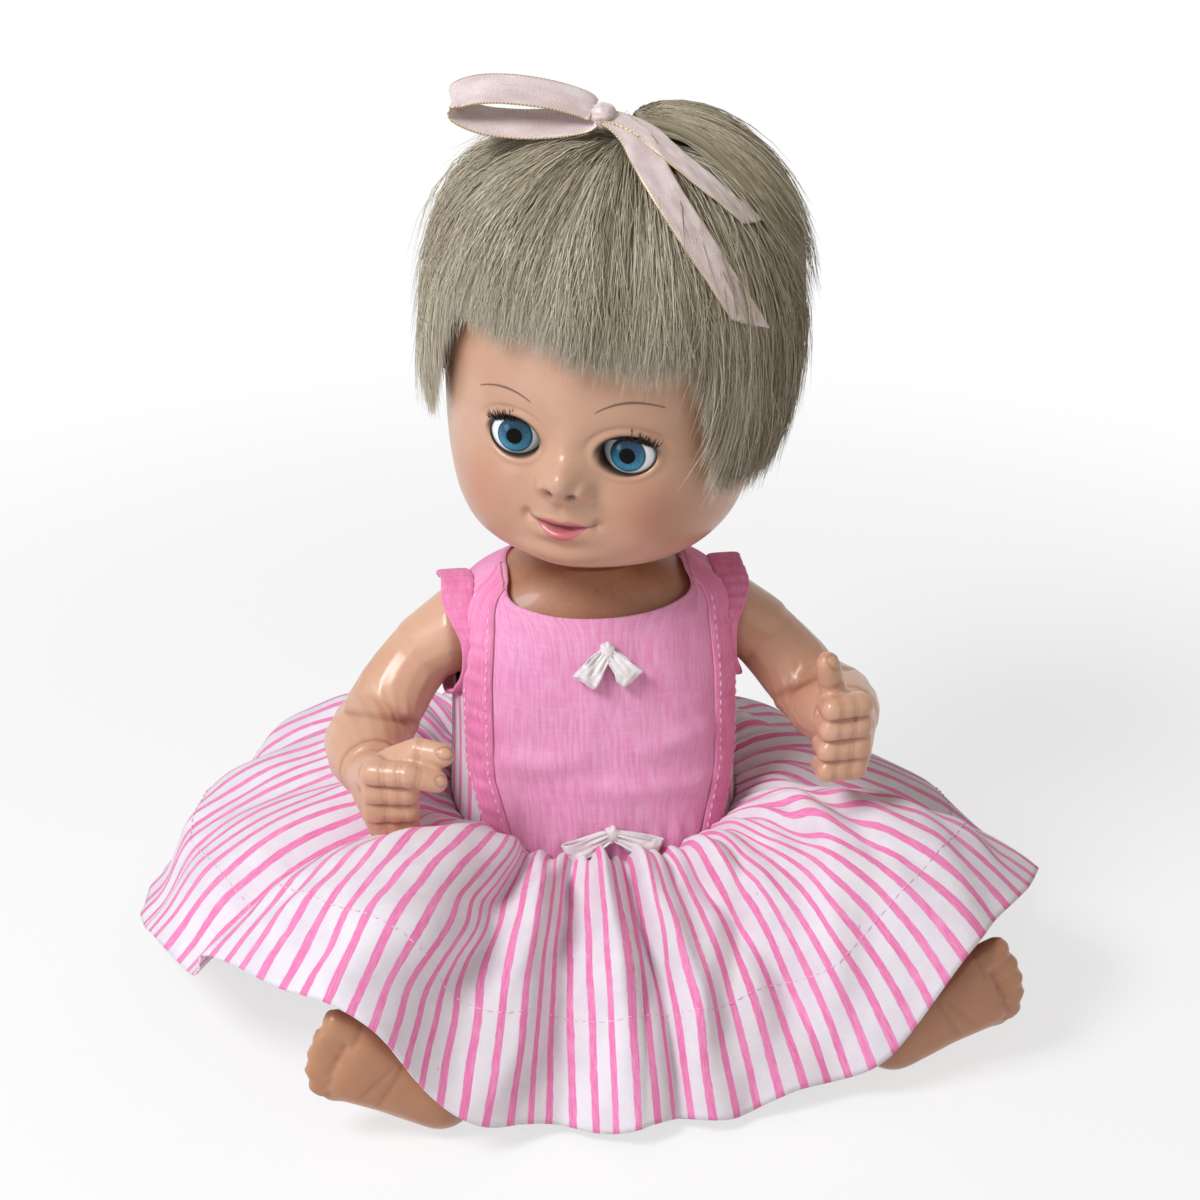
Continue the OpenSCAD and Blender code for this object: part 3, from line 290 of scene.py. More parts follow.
def makeCamera():
    a, e = math.radians(view["azimuth"]), math.radians(view["elevation"])
    back = Vector((math.sin(a) * math.cos(e), -math.cos(a) * math.cos(e), math.sin(e)))
    data = bpy.data.cameras.new("photoCamera")
    data.lens, data.sensor_width, data.shift_y = view["lens"], view["sensor"], view["lift"]
    data.clip_start, data.clip_end = view["near"], view["far"]
    camera = bpy.data.objects.new("photoCamera", data)
    camera.location = Vector(view["target"]) + back * view["distance"]
    camera.rotation_euler = (-back).to_track_quat("-Z", "Y").to_euler()
    scene.collection.objects.link(camera)
    scene.camera = camera


studio = {"sky": 0.30, "wall": (1.0, 0.97, 0.94, 1), "paper": (0.95, 0.94, 0.95, 1), "paperHalf": 6,
          "paperDrop": 0.0005, "paperGlow": 0.7, "shadeNear": 0.05, "shadeFar": 0.35}
lamps = (  # name, place, aim, size, power and colour
    ("windowLight", (-0.82, -0.52, 1.2), (0, -0.02, 0.15), 0.55, 16.0, (0.98, 1.0, 1.04)),
    ("sideLight", (-1.2, -0.6, 0.32), (0, -0.02, 0.2), 0.45, 1.6, (0.9, 0.97, 1.1)),
    ("roomLight", (1.1, -0.9, 0.5), (0, 0, 0.12), 1.2, 1.8, (1.0, 0.82, 0.62)))


def lamp(name, place, aim, size, power, colour):
    data = bpy.data.lights.new(name, "AREA")
    data.shape, data.size, data.energy, data.color = "DISK", size, power, colour
    obj = bpy.data.objects.new(name, data)
    obj.location = place
    obj.rotation_euler = (Vector(aim) - Vector(place)).to_track_quat("-Z", "Y").to_euler()
    scene.collection.objects.link(obj)


def whiteRoom(start):  # 1 for rays that show the background: seen, mirrored or through glass
    words = ("Is Camera Ray", "Is Glossy Ray", "Is Transmission Ray")
    seen, mirrored, through = [start.add("LightPath", {}, {}, word) for word in words]
    return seen.top(mirrored).top(through)


def makeRoom():
    world = bpy.data.worlds.new("paleRoom")
    scene.world = world
    world.use_nodes = True
    tree = world.node_tree
    background = tree.nodes["Background"]
    strength = whiteRoom(Wire(tree)) * (1 - studio["sky"]) + studio["sky"]
    tree.links.new(strength.socket, background.inputs["Strength"])
    background.inputs["Color"].default_value = studio["wall"]


def makeFloor():
    bm = bmesh.new()
    bmesh.ops.create_grid(bm, x_segments=2, y_segments=2, size=studio["paperHalf"])
    mesh = bpy.data.meshes.new("paleFloor")
    bm.to_mesh(mesh)
    bm.free()
    floor = bpy.data.objects.new("paleFloor", mesh)
    floor.location.z = -studio["paperDrop"]
    scene.collection.objects.link(floor)
    finish = Finish("floorPaper", {"Base Color": studio["paper"], "Roughness": 0.9,
                                   "Specular IOR Level": 0.0})
    glow = finish.start.add("Emission", {}, {"Color": (1, 1, 1, 1), "Strength": 1.0})
    x, y, _ = finish.place().split()
    far = (x * x + y * y).step(studio["shadeNear"], studio["shadeFar"])  # its own shade shows round the doll
    seen = whiteRoom(finish.start) * (far * (1 - studio["paperGlow"]) + studio["paperGlow"])
    paper = Wire(finish.tree, finish.shader.outputs[0])
    both = finish.start.add("MixShader", {}, {0: seen, 1: paper, 2: glow})
    out = next(n for n in finish.tree.nodes if n.type == "OUTPUT_MATERIAL")
    finish.tree.links.new(both.socket, out.inputs["Surface"])
    mesh.materials.append(finish.material)


makeCamera()
for row in lamps:
    lamp(*row)
makeRoom()
makeFloor()
print("doll: camera and light are set")


# Finishes
def vinylFinish(name, tones, painted=False):
    finish = Finish(name, {"Roughness": 0.36, "Coat Weight": 0.35, "Coat Roughness": 0.2,
                           "Specular IOR Level": 0.4})
    where = finish.place()
    cloud = where.noisy(28, 3.0)
    pores = where.noisy(900, 2.0)
    worn = where.noisy(120, 4.0, 0.6)
    skin = cloud.step(0.3, 0.7).tinted(tint(tones[0]), tint(tones[1]))
    # painted shade: darker in the carved creases and round the nails, read from a per-point attribute
    crease = finish.start.add("Attribute", {"attribute_name": "crease"}, {}, "Fac")
    skin = (crease * 0.75).tinted(skin, tint("8f5a42"))
    skin = (worn.step(0.62, 0.78) * 0.16).tinted(skin, tint("b5866a"))
    if painted:
        skin = paintFace(finish, skin)
    finish.feed("Base Color", skin)
    finish.feed("Roughness", 0.30 + worn * 0.16)
    finish.dent(pores * 0.5 + worn, 0.10, 0.0004)
    return finish


# Sizes in millimetres: down is below the middle of the eyes, eyeH is the eyes' height on the head
face = {"eyeX": 19.0, "eyeH": 58.0, "openW": 19.0, "openH": 14.5, "mouthDown": 27.9, "mouthCurl": 0.019,
        "mouthHalf": 8.6, "upperLip": 3.7, "lowerLip": 4.2, "nostrilX": 3.5, "nostrilDown": 14.0,
        "cheekX": 31, "cheekDown": 22, "chinDown": 42, "frontY": -20, "neckTop": 30, "mapWide": 200,
        "lipRose": "c2606c", "brow": "43291e", "blush": "b05f47"}
eye = {"radius": 11.0, "back": 38.5, "rimRadius": 11.45, "mapWide": 24, "pinRadius": 1.2, "pinLong": 2.4,
       "pinX": 11.9, "lashHalf": 8.6, "lashes": 46}


def paintFace(finish, skin):
    x, up, _ = finish.sheetMap("faceMap").split()
    x, up = (x - 0.5) * face["mapWide"], up * face["mapWide"]
    e = up - face["eyeH"]
    ax = abs(x)
    blush = (ax - face["cheekX"]).hump(15) * (e + face["cheekDown"]).hump(13)
    chin = x.hump(12) * (e + face["chinDown"]).hump(6)
    skin = (blush * 0.46 + chin * 0.16).tinted(skin, tint(face["blush"]))
    socket = (ax - face["eyeX"]).hump(13) * (e - 7).hump(7)  # faint shade over the eyes
    skin = (socket * 0.25).tinted(skin, tint("9b6c52"))
    # lips, drawn between three curves
    line = x * x * face["mouthCurl"] - face["mouthDown"]
    inside = 1 - (x / face["mouthHalf"]) * (x / face["mouthHalf"])
    bow = 1 - x.hump(1.8) * 0.28
    above = line + inside.top(0) * face["upperLip"] * bow
    under = line - inside.top(0) * face["lowerLip"]
    edge = finish.place().noisy(300, 2.0) * 0.5
    lips = (above - e + edge).step(-0.35, 0.45) * (e - under + edge).step(-0.4, 0.5) * inside.step(0.0, 0.12)
    skin = (lips * 0.85).tinted(skin, tint(face["lipRose"]))
    # dark line between the lips: painted mouth line and painted shade of the parted lips
    gap = ((e - line) / (0.4 + inside.top(0) * 0.35)).hump(0.9) * (1 - ax.step(10.4, 12.4))
    skin = (gap * 0.85).tinted(skin, tint("6e2a2c"))
    # painted shade inside the nostril dents
    nostrilShade = (ax - face["nostrilX"]).hump(1.5) * (e + face["nostrilDown"]).hump(1.6)
    skin = (nostrilShade * 0.95).tinted(skin, tint("4a2418"))
    # thin painted brows
    rightArc = 74.7 - (x + 22.5) * (x + 22.5) * 0.0285
    leftArc = 77.6 - (x - 20.5) * (x - 20.5) * ((x - 20.5).step(-2, 2) * -0.010 + 0.031)
    onRight = (x + 33.4).step(0, 1.2) * (0 - x - 12.9).step(0, 1.4)
    onLeft = (x - 7.6).step(0, 1.4) * (29.9 - x).step(0, 1.2)
    rightBrow = ((up - rightArc) / (0.26 + (x + 22).hump(7) * 0.18)).hump(1.0) * onRight
    leftBrow = ((up - leftArc) / (0.28 + (x - 18).hump(7) * 0.22)).hump(1.0) * onLeft
    skin = ((rightBrow + leftBrow).low(1) * 0.88).tinted(skin, tint(face["brow"]))
    # dark line at the upper rim of the eye openings, part painted liner and part painted shade of the gap
    # round the eyeball; the turned-in rim wall is painted dark as shade
    rho = (((ax - face["eyeX"]) / (face["openW"] / 2)) ** 2 + (e / (face["openH"] / 2)) ** 2) ** 0.5
    linerAndShade = (rho - 1.0).hump(0.115) * e.step(-2.5, 2.5)
    wall = 1 - rho.step(0.965, 0.995)
    return (linerAndShade.top(wall).low(1) * 0.93).tinted(skin, tint("1d1310"))


def cottonFinish(name, colours, slub, weave, edgeFade=0.0):
    finish = Finish(name, {"Roughness": 0.88, "Sheen Weight": 0.18, "Sheen Roughness": 0.5,
                           "Specular IOR Level": 0.2})
    cloth = finish.sheetMap("cloth")
    u, v, _ = cloth.split()
    threads = cloth.stretched(1.0, 0.06, 1.0).noisy(slub, 3.0, 0.65)
    across = cloth.stretched(0.08, 1.0, 1.0).noisy(slub * 0.9, 2.0, 0.5)
    faded = cloth.noisy(28, 4.0, 0.6)
    tone = (threads * 0.62 + across * 0.16 + faded * 0.22).step(0.36, 0.66)
    colour = tone.tinted(tint(colours[0]), tint(colours[1]))
    flecks = cloth.stretched(1.0, 0.35, 1.0).noisy(1500, 1.0)
    colour = (flecks.step(0.66, 0.8) * 0.35).tinted(colour, tint(colours[2]))
    if edgeFade:
        share = finish.start.add("Attribute", {"attribute_name": "rim"}, {}, "Fac")
        colour = (share * edgeFade).tinted(colour, tint(colours[2]))
    finish.feed("Base Color", colour)
    warp = (u * (waveMm / weave)).wave() * (v * (waveMm / weave)).wave()
    finish.dent(warp * 0.35 + threads * 0.5 + across * 0.25, 0.5, 0.00025)
    return finish


stripes = {"pitch": 8.2, "pink": 2.85, "soft": 0.022, "wander": 0.09, "weave": 0.55, "white": "ece5ea",
           "aged": "e2d9e1", "rose": "ec76b0", "pale": "f59ac6"}


def stripedFinish(name, yoke=None):
    finish = Finish(name, {"Roughness": 0.9, "Sheen Weight": 0.12, "Specular IOR Level": 0.18})
    cloth = finish.sheetMap("cloth")  # u counts stripes, v is metres along them
    u, v, _ = cloth.split()
    metre = finish.start.add("CombineXYZ", {}, {0: u * (stripes["pitch"] * mm), 1: v})
    wander = metre.noisy(260, 3.0) - 0.5
    inStripe = abs((u + wander * stripes["wander"]).fract() - 0.5)
    half = stripes["pink"] / stripes["pitch"] / 2
    mask = inStripe.step(half + stripes["soft"], half - stripes["soft"])
    thread = metre.stretched(1.0, 0.1, 1.0).noisy(1900, 2.0, 0.6)
    worn = metre.noisy(45, 4.0, 0.65)
    white = worn.step(0.35, 0.7).tinted(tint(stripes["white"]), tint(stripes["aged"]))
    rose = (thread * 0.7 + worn * 0.3).step(0.38, 0.68).tinted(tint(stripes["rose"]), tint(stripes["pale"]))
    colour = (mask * 0.96).tinted(white, rose)
    specks = metre.noisy(330, 0.0).step(0.86, 0.88) * 0.3  # a few grey specks of age
    colour = specks.tinted(colour, tint("77706f"))
    if yoke:  # the bodice is plain above this height
        plain = (thread * 0.6 + worn * 0.4).step(0.36, 0.66).tinted(tint("ee93c2"), tint("f8b6da"))
        colour = v.step(yoke, yoke + 0.0006).tinted(colour, plain)
    finish.feed("Base Color", colour)
    warp = (u * (waveMm * mm * stripes["pitch"] / stripes["weave"])).wave()
    weft = (v * (waveMm / stripes["weave"])).wave()
    finish.dent(warp * weft * 0.3 + thread * 0.5, 0.45, 0.00025)
    return finish


def satinFinish(name, colours, edge=None):
    finish = Finish(name, {"Roughness": 0.34, "Sheen Weight": 0.25, "Specular IOR Level": 0.55,
                           "Anisotropic": 0.5})
    cloth = finish.sheetMap("cloth")  # u across the ribbon in shares, v metres along it
    u, v, _ = cloth.split()
    lines = cloth.stretched(0.012, 1.0, 1.0).noisy(2400, 2.0, 0.6)
    cloud = cloth.stretched(0.02, 1.0, 1.0).noisy(90, 3.0)
    colour = (lines * 0.5 + cloud * 0.5).step(0.35, 0.68).tinted(tint(colours[0]), tint(colours[1]))
    if edge:
        cord = abs(u - 0.5).step(0.462, 0.475)
        beads = (v * (waveMm / 0.9)).wave().step(-0.4, 0.6)
        colour = cord.tinted(colour, beads.tinted(tint(edge), tint("dcc9a0")))
        finish.feed("Metallic", cord * 0.35)
    finish.feed("Base Color", colour)
    finish.feed("Roughness", 0.26 + cloud * 0.22)
    finish.dent(lines, 0.35, 0.00015)
    return finish


def hairFinish(name, dark, light):
    finish = Finish(name, {"Roughness": 0.36, "Specular IOR Level": 0.5, "Anisotropic": 0.6})
    u, v, _ = finish.sheetMap("OFBake").split()  # u is the strand's tone, v goes from root to tip
    stops = [(0.0, tint(dark)), (0.45, tint("bdb299")), (1.0, tint(light))]
    shade = finish.start.add("ValToRGB", {"stops": stops}, {0: u})
    root = (1 - v.step(0.0, 0.35)) * 0.38
    colour = root.tinted(shade, tint("6b6354"))
    tip = v.step(0.75, 1.0) * 0.3
    finish.feed("Base Color", tip.tinted(colour, tint("d6cfbf")))
    finish.feed("Roughness", 0.30 + u * 0.14)
    return finish


def hairBedFinish(name):
    finish = Finish(name, {"Roughness": 0.55, "Specular IOR Level": 0.35})
    cloth = finish.sheetMap("cloth")  # u goes round the head, v from crown to tips
    fine = cloth.stretched(1.0, 0.02, 1.0).noisy(420, 3.0, 0.7)
    broad = cloth.stretched(1.0, 0.06, 1.0).noisy(60, 2.0, 0.6)
    tone = fine * 0.65 + broad * 0.35
    finish.feed("Base Color", tone.step(0.34, 0.66).tinted(tint("71674f"), tint("b1a68e")))
    finish.dent(tone, 0.9, 0.0015)
    return finish


def eyeFinish(name):
    finish = Finish(name, {"Roughness": 0.3, "Coat Weight": 0.8, "Coat Roughness": 0.03,
                           "Specular IOR Level": 0.05})
    x, turn, _ = finish.sheetMap("eyeMap").split()
    x = (x - 0.5) * eye["mapWide"]  # millimetres across
    turn = (turn - 0.5) * (2 * math.pi)  # about the pivot pin, 0 looks ahead
    z = ((eye["radius"] ** 2 - x * x).top(0.01) ** 0.5) * turn.wave()
    r = (x * x + z * z) ** 0.5
    around = finish.start.sum("ARCTAN2", z, x)
    ray = finish.start.add("CombineXYZ", {}, {0: around * 9.0, 1: r * 0.22})
    streak = ray.noisy(2.6, 3.0, 0.6)
    # radial streaks of the iris, with painted light making its lower part lighter
    streaksLitBelow = (streak * 0.8 + (r - 2.6) * 0.08 - z * 0.05).step(0.25, 0.95)
    iris = streaksLitBelow.tinted(tint("0a3d58"), tint("3c93b3"))
    iris = (r.step(4.9, 5.9) * 0.85).tinted(iris, tint("0b2a3a"))
    # painted shade of the lid and lashes over the top of the iris
    iris = ((z * 0.16).step(0.05, 0.9) * 0.55).tinted(iris, tint("082131"))
    iris = (1 - r.step(2.5, 2.95)).tinted(iris, tint("020304"))
    veins = finish.place().noisy(420, 3.0)
    white = (r.step(6.0, 10.5) * 0.35 + veins * 0.08).tinted(tint("eceff1"), tint("c2c6cb"))
    colour = r.step(5.75, 6.15).tinted(iris, white)
    # painted shade on the eyeball near the edge of the opening, where the socket shades it
    rim = ((x / 9.2) * (x / 9.2) + (z / 7.1) * (z / 7.1)) ** 0.5
    colour = (rim.step(0.84, 1.0) * 0.8).tinted(colour, tint("1c1310"))
    lid = (turn + x * x * 0.00153).step(0.49, 0.53)  # its edge is arched, as the lashes are
    skinLid = finish.place().noisy(300, 3.0).tinted(tint("bd8d72"), tint("c69a80"))
    back = turn.step(2.0, 2.1)
    colour = (lid * (1 - back)).tinted(colour, skinLid)
    finish.feed("Base Color", colour)
    finish.feed("Roughness", 0.25 + lid * 0.2)
    finish.feed("Coat Weight", 0.12 + r.step(2.5, 3.1) * 0.55 - lid * 0.4)
    return finish


def lashFinish(name):
    finish = Finish(name, {"Roughness": 0.5, "Specular IOR Level": 0.4})
    tone = finish.place().noisy(900, 2.0)
    finish.feed("Base Color", tone.tinted(tint("0b0807"), tint("241a16")))
    return finish


def mouldedFinish(name, dark, light, rough, grain=500, coat=0.0):
    finish = Finish(name, {"Roughness": rough, "Coat Weight": coat})
    where = finish.place()
    cloud, fine = where.noisy(60, 3.0), where.noisy(grain, 3.0, 0.6)
    finish.feed("Base Color", (cloud * 0.6 + fine * 0.4).step(0.3, 0.7).tinted(tint(dark), tint(light)))
    finish.feed("Roughness", rough - 0.06 + fine * 0.14)
    finish.dent(fine, 0.18, 0.0003)
    return finish


def metalFinish(name, dark, light, rough, brush=(1, 1, 0.03)):
    finish = Finish(name, {"Metallic": 1.0, "Roughness": rough})
    lines = finish.place().stretched(*brush).noisy(1400, 3.0, 0.6)
    spots = finish.place().noisy(220, 4.0, 0.6)
    finish.feed("Base Color", (lines * 0.5 + spots * 0.5).step(0.3, 0.7).tinted(tint(dark), tint(light)))
    finish.feed("Roughness", rough - 0.05 + spots * 0.16)
    finish.dent(lines, 0.15, 0.0002)
    return finish


def boardFinish(name):
    finish = Finish(name, {"Roughness": 0.35, "Coat Weight": 0.4, "Coat Roughness": 0.2})
    x, _, z = finish.place().split()
    tracks = (x * 2200).wave().step(0.55, 0.7) * (z * 700).wave().step(-0.2, 0.1)
    pads = ((x * 1250).wave() * (z * 1250).wave()).step(0.86, 0.92)
    green = finish.place().noisy(150, 2.0).tinted(tint("1d5a36"), tint("2a7748"))
    colour = (tracks * 0.5).tinted(green, tint("4f9a5e"))
    finish.feed("Base Color", pads.tinted(colour, tint("c9b27a")))
    finish.feed("Metallic", pads * 0.8)
    finish.dent(tracks + pads, 0.3, 0.0002)
    return finish


def cellFinish(name):
    finish = Finish(name, {"Roughness": 0.35, "Coat Weight": 0.3})
    _, _, z = finish.place().split()
    low, high = (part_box("battery_cells")[k].z for k in (0, 1))
    cap = z.step(high - 0.0024, high - 0.0016)
    ring = z.step(high - 0.014, high - 0.0138)
    foot = 1 - z.step(low + 0.0004, low + 0.0008)
    wear = finish.place().noisy(260, 4.0)
    jacket = ring.tinted(tint("2b2f36"), tint("b3702f"))
    jacket = (wear.step(0.6, 0.75) * 0.3).tinted(jacket, tint("6d6a66"))
    metal = (cap + foot).low(1)
    finish.feed("Base Color", metal.tinted(jacket, tint("c3c4c6")))
    finish.feed("Metallic", metal)
    finish.dent(wear, 0.1, 0.0002)
    return finish


look = {
    "vinyl": vinylFinish("dollVinyl", ("c89678", "d5a78b")),
    # the legs are the arms' vinyl painted darker, as shade from the skirt
    "legVinyl": vinylFinish("legVinyl", ("a8714f", "b8825f")),
    "faceVinyl": vinylFinish("facePaintedVinyl", ("bd9073", "caa085"), True),
    "bib": cottonFinish("pinkSlubCotton", ("ee93c2", "f8b6da", "fce0ee"), 1300, 0.5),
    "binding": cottonFinish("pinkBindingCotton", ("ef7fb4", "f8a0c9", "fcd2e5"), 1500, 0.45, 0.5),
    "striped": stripedFinish("stripedCotton"), "bodice": stripedFinish("bodiceCotton", 0.066),
    "whiteSatin": satinFinish("whiteBowSatin", ("ddd6d6", "f6f2f1")),
    "hairSatin": satinFinish("hairRibbonSatin", ("cbb3b0", "eadfdd"), "a88b62"),
    "hair": hairFinish("ashHair", "6f6141", "efe8d8"), "hairBed": hairBedFinish("rootedHairBed"),
    "eye": eyeFinish("sleepEye"), "lash": lashFinish("lashBlack"),
    "thread": mouldedFinish("pinkThread", "f3b0d0", "fbd3e5", 0.8, 2500),
    "whiteThread": mouldedFinish("paleThread", "e7a9c8", "f3dbe8", 0.85, 2500),
    # torso plastic painted darker as shade under the chin
    "body_plastic": mouldedFinish("shadedBodyPlastic", "a06d50", "b07d5f", 0.45, 700, 0.1),
    "door_plastic": mouldedFinish("doorPlastic", "b58568", "c19375", 0.42, 900),
    "steel": metalFinish("screwSteel", "8d9094", "c2c5c8", 0.3),
    "nylon": mouldedFinish("bushNylon", "d8d2c2", "ece7da", 0.45, 900),
    "dark_plastic": mouldedFinish("boxPlastic", "26282b", "3a3d41", 0.5, 1300),
    "cell_jacket": cellFinish("cellJacket"), "board_green": boardFinish("circuitBoard"),
    "chip_black": mouldedFinish("chipResin", "141516", "24262a", 0.42, 2200),
    "speaker_steel": metalFinish("speakerSteel", "6d7276", "a3a8ac", 0.38, (1, 0.05, 1)),
    "speaker_paper": mouldedFinish("speakerPaper", "4a3d31", "6b5a48", 0.92, 900),
    "magnet": metalFinish("magnetFerrite", "3c3d40", "5a5c60", 0.55, (1, 1, 1)),
    "switch_red": mouldedFinish("switchRed", "8e1c18", "b62a22", 0.38, 1000, 0.2),
    "weight": metalFinish("weightLead", "5f6265", "83868a", 0.5, (1, 1, 1)),
}
print("doll:", len(look), "finishes made")

# Torso curves that the clothes lie on, in millimetres; a row is a share of the height, then the
# shares of the half width, the front depth and the back depth
body = {"height": 156, "halfW": 50, "front": 45, "back": 42, "power": 2.3, "shoulderX": 45.5,
        "shoulderZ": 127, "armR": 15.5, "hipX": 40, "hipZ": 28, "hipTilt": 20}
bodyRows = [np.array(r) for r in (
    (0.00, 0.54, 0.55, 0.56), (0.05, 0.82, 0.80, 0.82), (0.16, 0.97, 0.95, 0.96), (0.29, 1.00, 1.00, 1.00),
    (0.45, 0.98, 0.96, 0.98), (0.61, 0.965, 0.87, 0.93), (0.74, 0.965, 0.80, 0.86), (0.84, 0.95, 0.72, 0.77),
    (0.91, 0.90, 0.62, 0.66), (0.95, 0.78, 0.54, 0.57), (0.98, 0.56, 0.46, 0.49), (1.00, 0.38, 0.41, 0.44))]


def bodyHalf(z):
    return rowCurve(bodyRows, max(0.0, min(1.0, z / body["height"])))


def shoulderLimit(z):
    return body["shoulderX"] + max(0, body["shoulderZ"] - body["armR"] - 2 - z) * 0.8


def sideLimit(z):
    hip = body["hipX"] + (z - body["hipZ"]) * math.tan(math.radians(body["hipTilt"]))
    return min(shoulderLimit(z), hip)


def bodyPt(phi, z, off):
    c = bodyHalf(z)
    p = 2 / body["power"]
    depth = c[2] * body["front"] if cosD(phi) > 0 else c[3] * body["back"]
    x = (c[1] * body["halfW"] + off) * powered(sinD(phi), p)
    cut = sideLimit(z) + off
    return Vector((max(-cut, min(cut, x)), -(depth + off) * powered(cosD(phi), p), z))


dress = {"waistZ": 57, "waistRise": 10, "neckZ": 147, "neckRise": 5.6, "cloth": 0.9, "mid": 0.45,
         "wall": 0.8, "bodiceOff": 0.9, "bodiceRound": 296, "bodiceHigh": 88, "bibHalf": 44, "bibHigh": 98,
         "binding": 8, "armhole": 20, "armSide": 25, "tuck": 2.5}
dress["bibOff"] = dress["bodiceOff"] + dress["cloth"] + 0.7
dress["bandOff"] = dress["bibOff"] + dress["cloth"] + 0.5


def waistAt(phi):
    return dress["waistZ"] + dress["waistRise"] * (1 - cosD(phi)) / 2


def necklineAt(phi):
    a = abs(lapped(phi))
    return dress["neckZ"] + dress["neckRise"] * ease(ramp(a, 15, 85)) - 2 * ramp(a, 110, 180)


def bibEdge(z):
    waist = 1 - ramp(z, dress["waistZ"], dress["waistZ"] + 26)
    return dress["bibHalf"] - 6 * waist - 2 * ramp(z, 118, 146)


def angleAt(x, z):
    rx = bodyHalf(z)[1] * body["halfW"]
    return min(88, math.degrees(math.asin(min(1, (x / rx) ** (body["power"] / 2)))))


def bibPt(share, inset, t, off):
    z0 = lerp(dress["waistZ"], dress["neckZ"], t)
    a = share * angleAt(max(bibEdge(z0) - inset, 1), z0)
    z = lerp(waistAt(a) + off * 0.75 - dress["tuck"], necklineAt(a) - 0.5, t)
    z += (1.6 * ramp(abs(a), 38, 62) - 2.4 * bell(a, 26)) * ease(ramp(t, 0.7, 1))
    return bodyPt(a, z, off + 1.9 * ramp(z, dress["neckZ"] - 8, dress["neckZ"] + 2))


def bibFace(share, inset, t, off):  # a place in the cloth and a millimetre's step out of it
    p = bibPt(share, inset, t, off + dress["mid"])
    return p, bibPt(share, inset, t, off + dress["mid"] + 1) - p


def openArmholes(bm, radius):  # cuts round armholes and draws their edge true
    gone = []
    for f in bm.faces:
        c = f.calc_center_median() / mm
        if abs(c.x) > dress["armSide"] and math.hypot(c.y, c.z - body["shoulderZ"]) < radius:
            gone.append(f)
    bmesh.ops.delete(bm, geom=gone, context="FACES")
    for e in [e for e in bm.edges if e.is_boundary]:
        for v in e.verts:
            y, z = v.co.y / mm, v.co.z / mm - body["shoulderZ"]
            r = math.hypot(y, z)
            if abs(v.co.x / mm) > dress["armSide"] and r < radius + 4.5:
                v.co.y, v.co.z = y / r * radius * mm, (z / r * radius + body["shoulderZ"]) * mm


# Bodice, striped cotton
def makeBodice():
    def place(s, t):
        phi = 360 * s - 180
        hidden = 5.5 * (1 - ramp(abs(phi), 52, 84)) * ease(ramp(t, 0.7, 1))  # stays behind the bib's edge
        z = lerp(waistAt(phi) + 0.3, necklineAt(phi), t) - hidden
        return bodyPt(phi, z, dress["bodiceOff"] + dress["mid"])

    def cloth(s, t):
        return (s * dress["bodiceRound"] / stripes["pitch"], t * dress["bodiceHigh"] * mm)

    bm = sheetGrid(240, 90, place, cloth, closed=True)
    openArmholes(bm, dress["armhole"])
    obj = thicken(keep("bodiceCotton", bm, look["bodice"], "torso"), dress["wall"])
    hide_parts("bodice")


# Bib front and its stitched side bands
bib = {"wrinkle": 2.0, "pull": 1.9}


def bibLift(x, z):  # soft pulls in the cloth, outwards only
    pulls = rough3(x, 0, z, 17) * 0.5 + rough3(x * 1.7, 9, z * 0.6, 14) * 0.5
    fold = 0.9 * bell(z - 96 - 0.12 * x, 5) * ramp(abs(x), 2, 18)
    fold += 0.8 * bell(z - 84 + 0.1 * x, 4) * ramp(x, -24, 0)
    drawn = 0.7 * bell(z - 62, 6) * (0.5 + 0.5 * math.sin(x * 0.9))
    return bib["wrinkle"] * (0.5 + 0.5 * pulls) + bib["pull"] * (fold + drawn)


def makeBib():
    def place(s, t):
        p, out = bibFace(2 * s - 1, 0, t, dress["bibOff"])
        calm = ease(ramp(min(s, 1 - s), 0.1, 0.24)) * ramp(1 - t, 0.0, 0.06)
        return p + out * bibLift(p.x, p.z) * calm

    def cloth(s, t):
        z = lerp(dress["waistZ"], dress["neckZ"], t)
        return ((2 * s - 1) * bibEdge(z) * 1.18 * mm, t * dress["bibHigh"] * mm)

    bm = sheetGrid(130, 150, place, cloth)
    openArmholes(bm, dress["armhole"] + 2)
    obj = thicken(keep("bibCotton", bm, look["bib"], "torso"), dress["wall"])
    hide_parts("bib_panel")


def stitchRow(name, line, out, finish, length=2.4, gap=1.1, thick=0.36):
    bm = bmesh.new()
    travel, nextAt = 0.0, 0.5
    for k in range(len(line) - 1):
        span = (line[k + 1] - line[k]).length
        while nextAt <= travel + span:
            w = (nextAt - travel) / span
            p = line[k].lerp(line[k + 1], w)
            n = out[k].lerp(out[k + 1], w).normalized()
            ahead = (line[k + 1] - line[k]).normalized()
            side = n.cross(ahead).normalized()
            turn = Matrix((ahead, side, ahead.cross(side))).transposed().to_4x4()
            skew = 0.12 * rough3(p.x * 9, p.y * 9, p.z * 9, 3)
            place = (Matrix.Translation((p + n * 0.1) * mm) @ turn @ Matrix.Rotation(skew, 4, "Z")
                     @ Matrix.Diagonal((length / 2 * mm, thick * mm, thick * mm, 1)))
            bmesh.ops.create_uvsphere(bm, u_segments=6, v_segments=5, radius=1.0, matrix=place)
            nextAt += length + gap
        travel += span
    return keep(name, bm, finish, "torso")


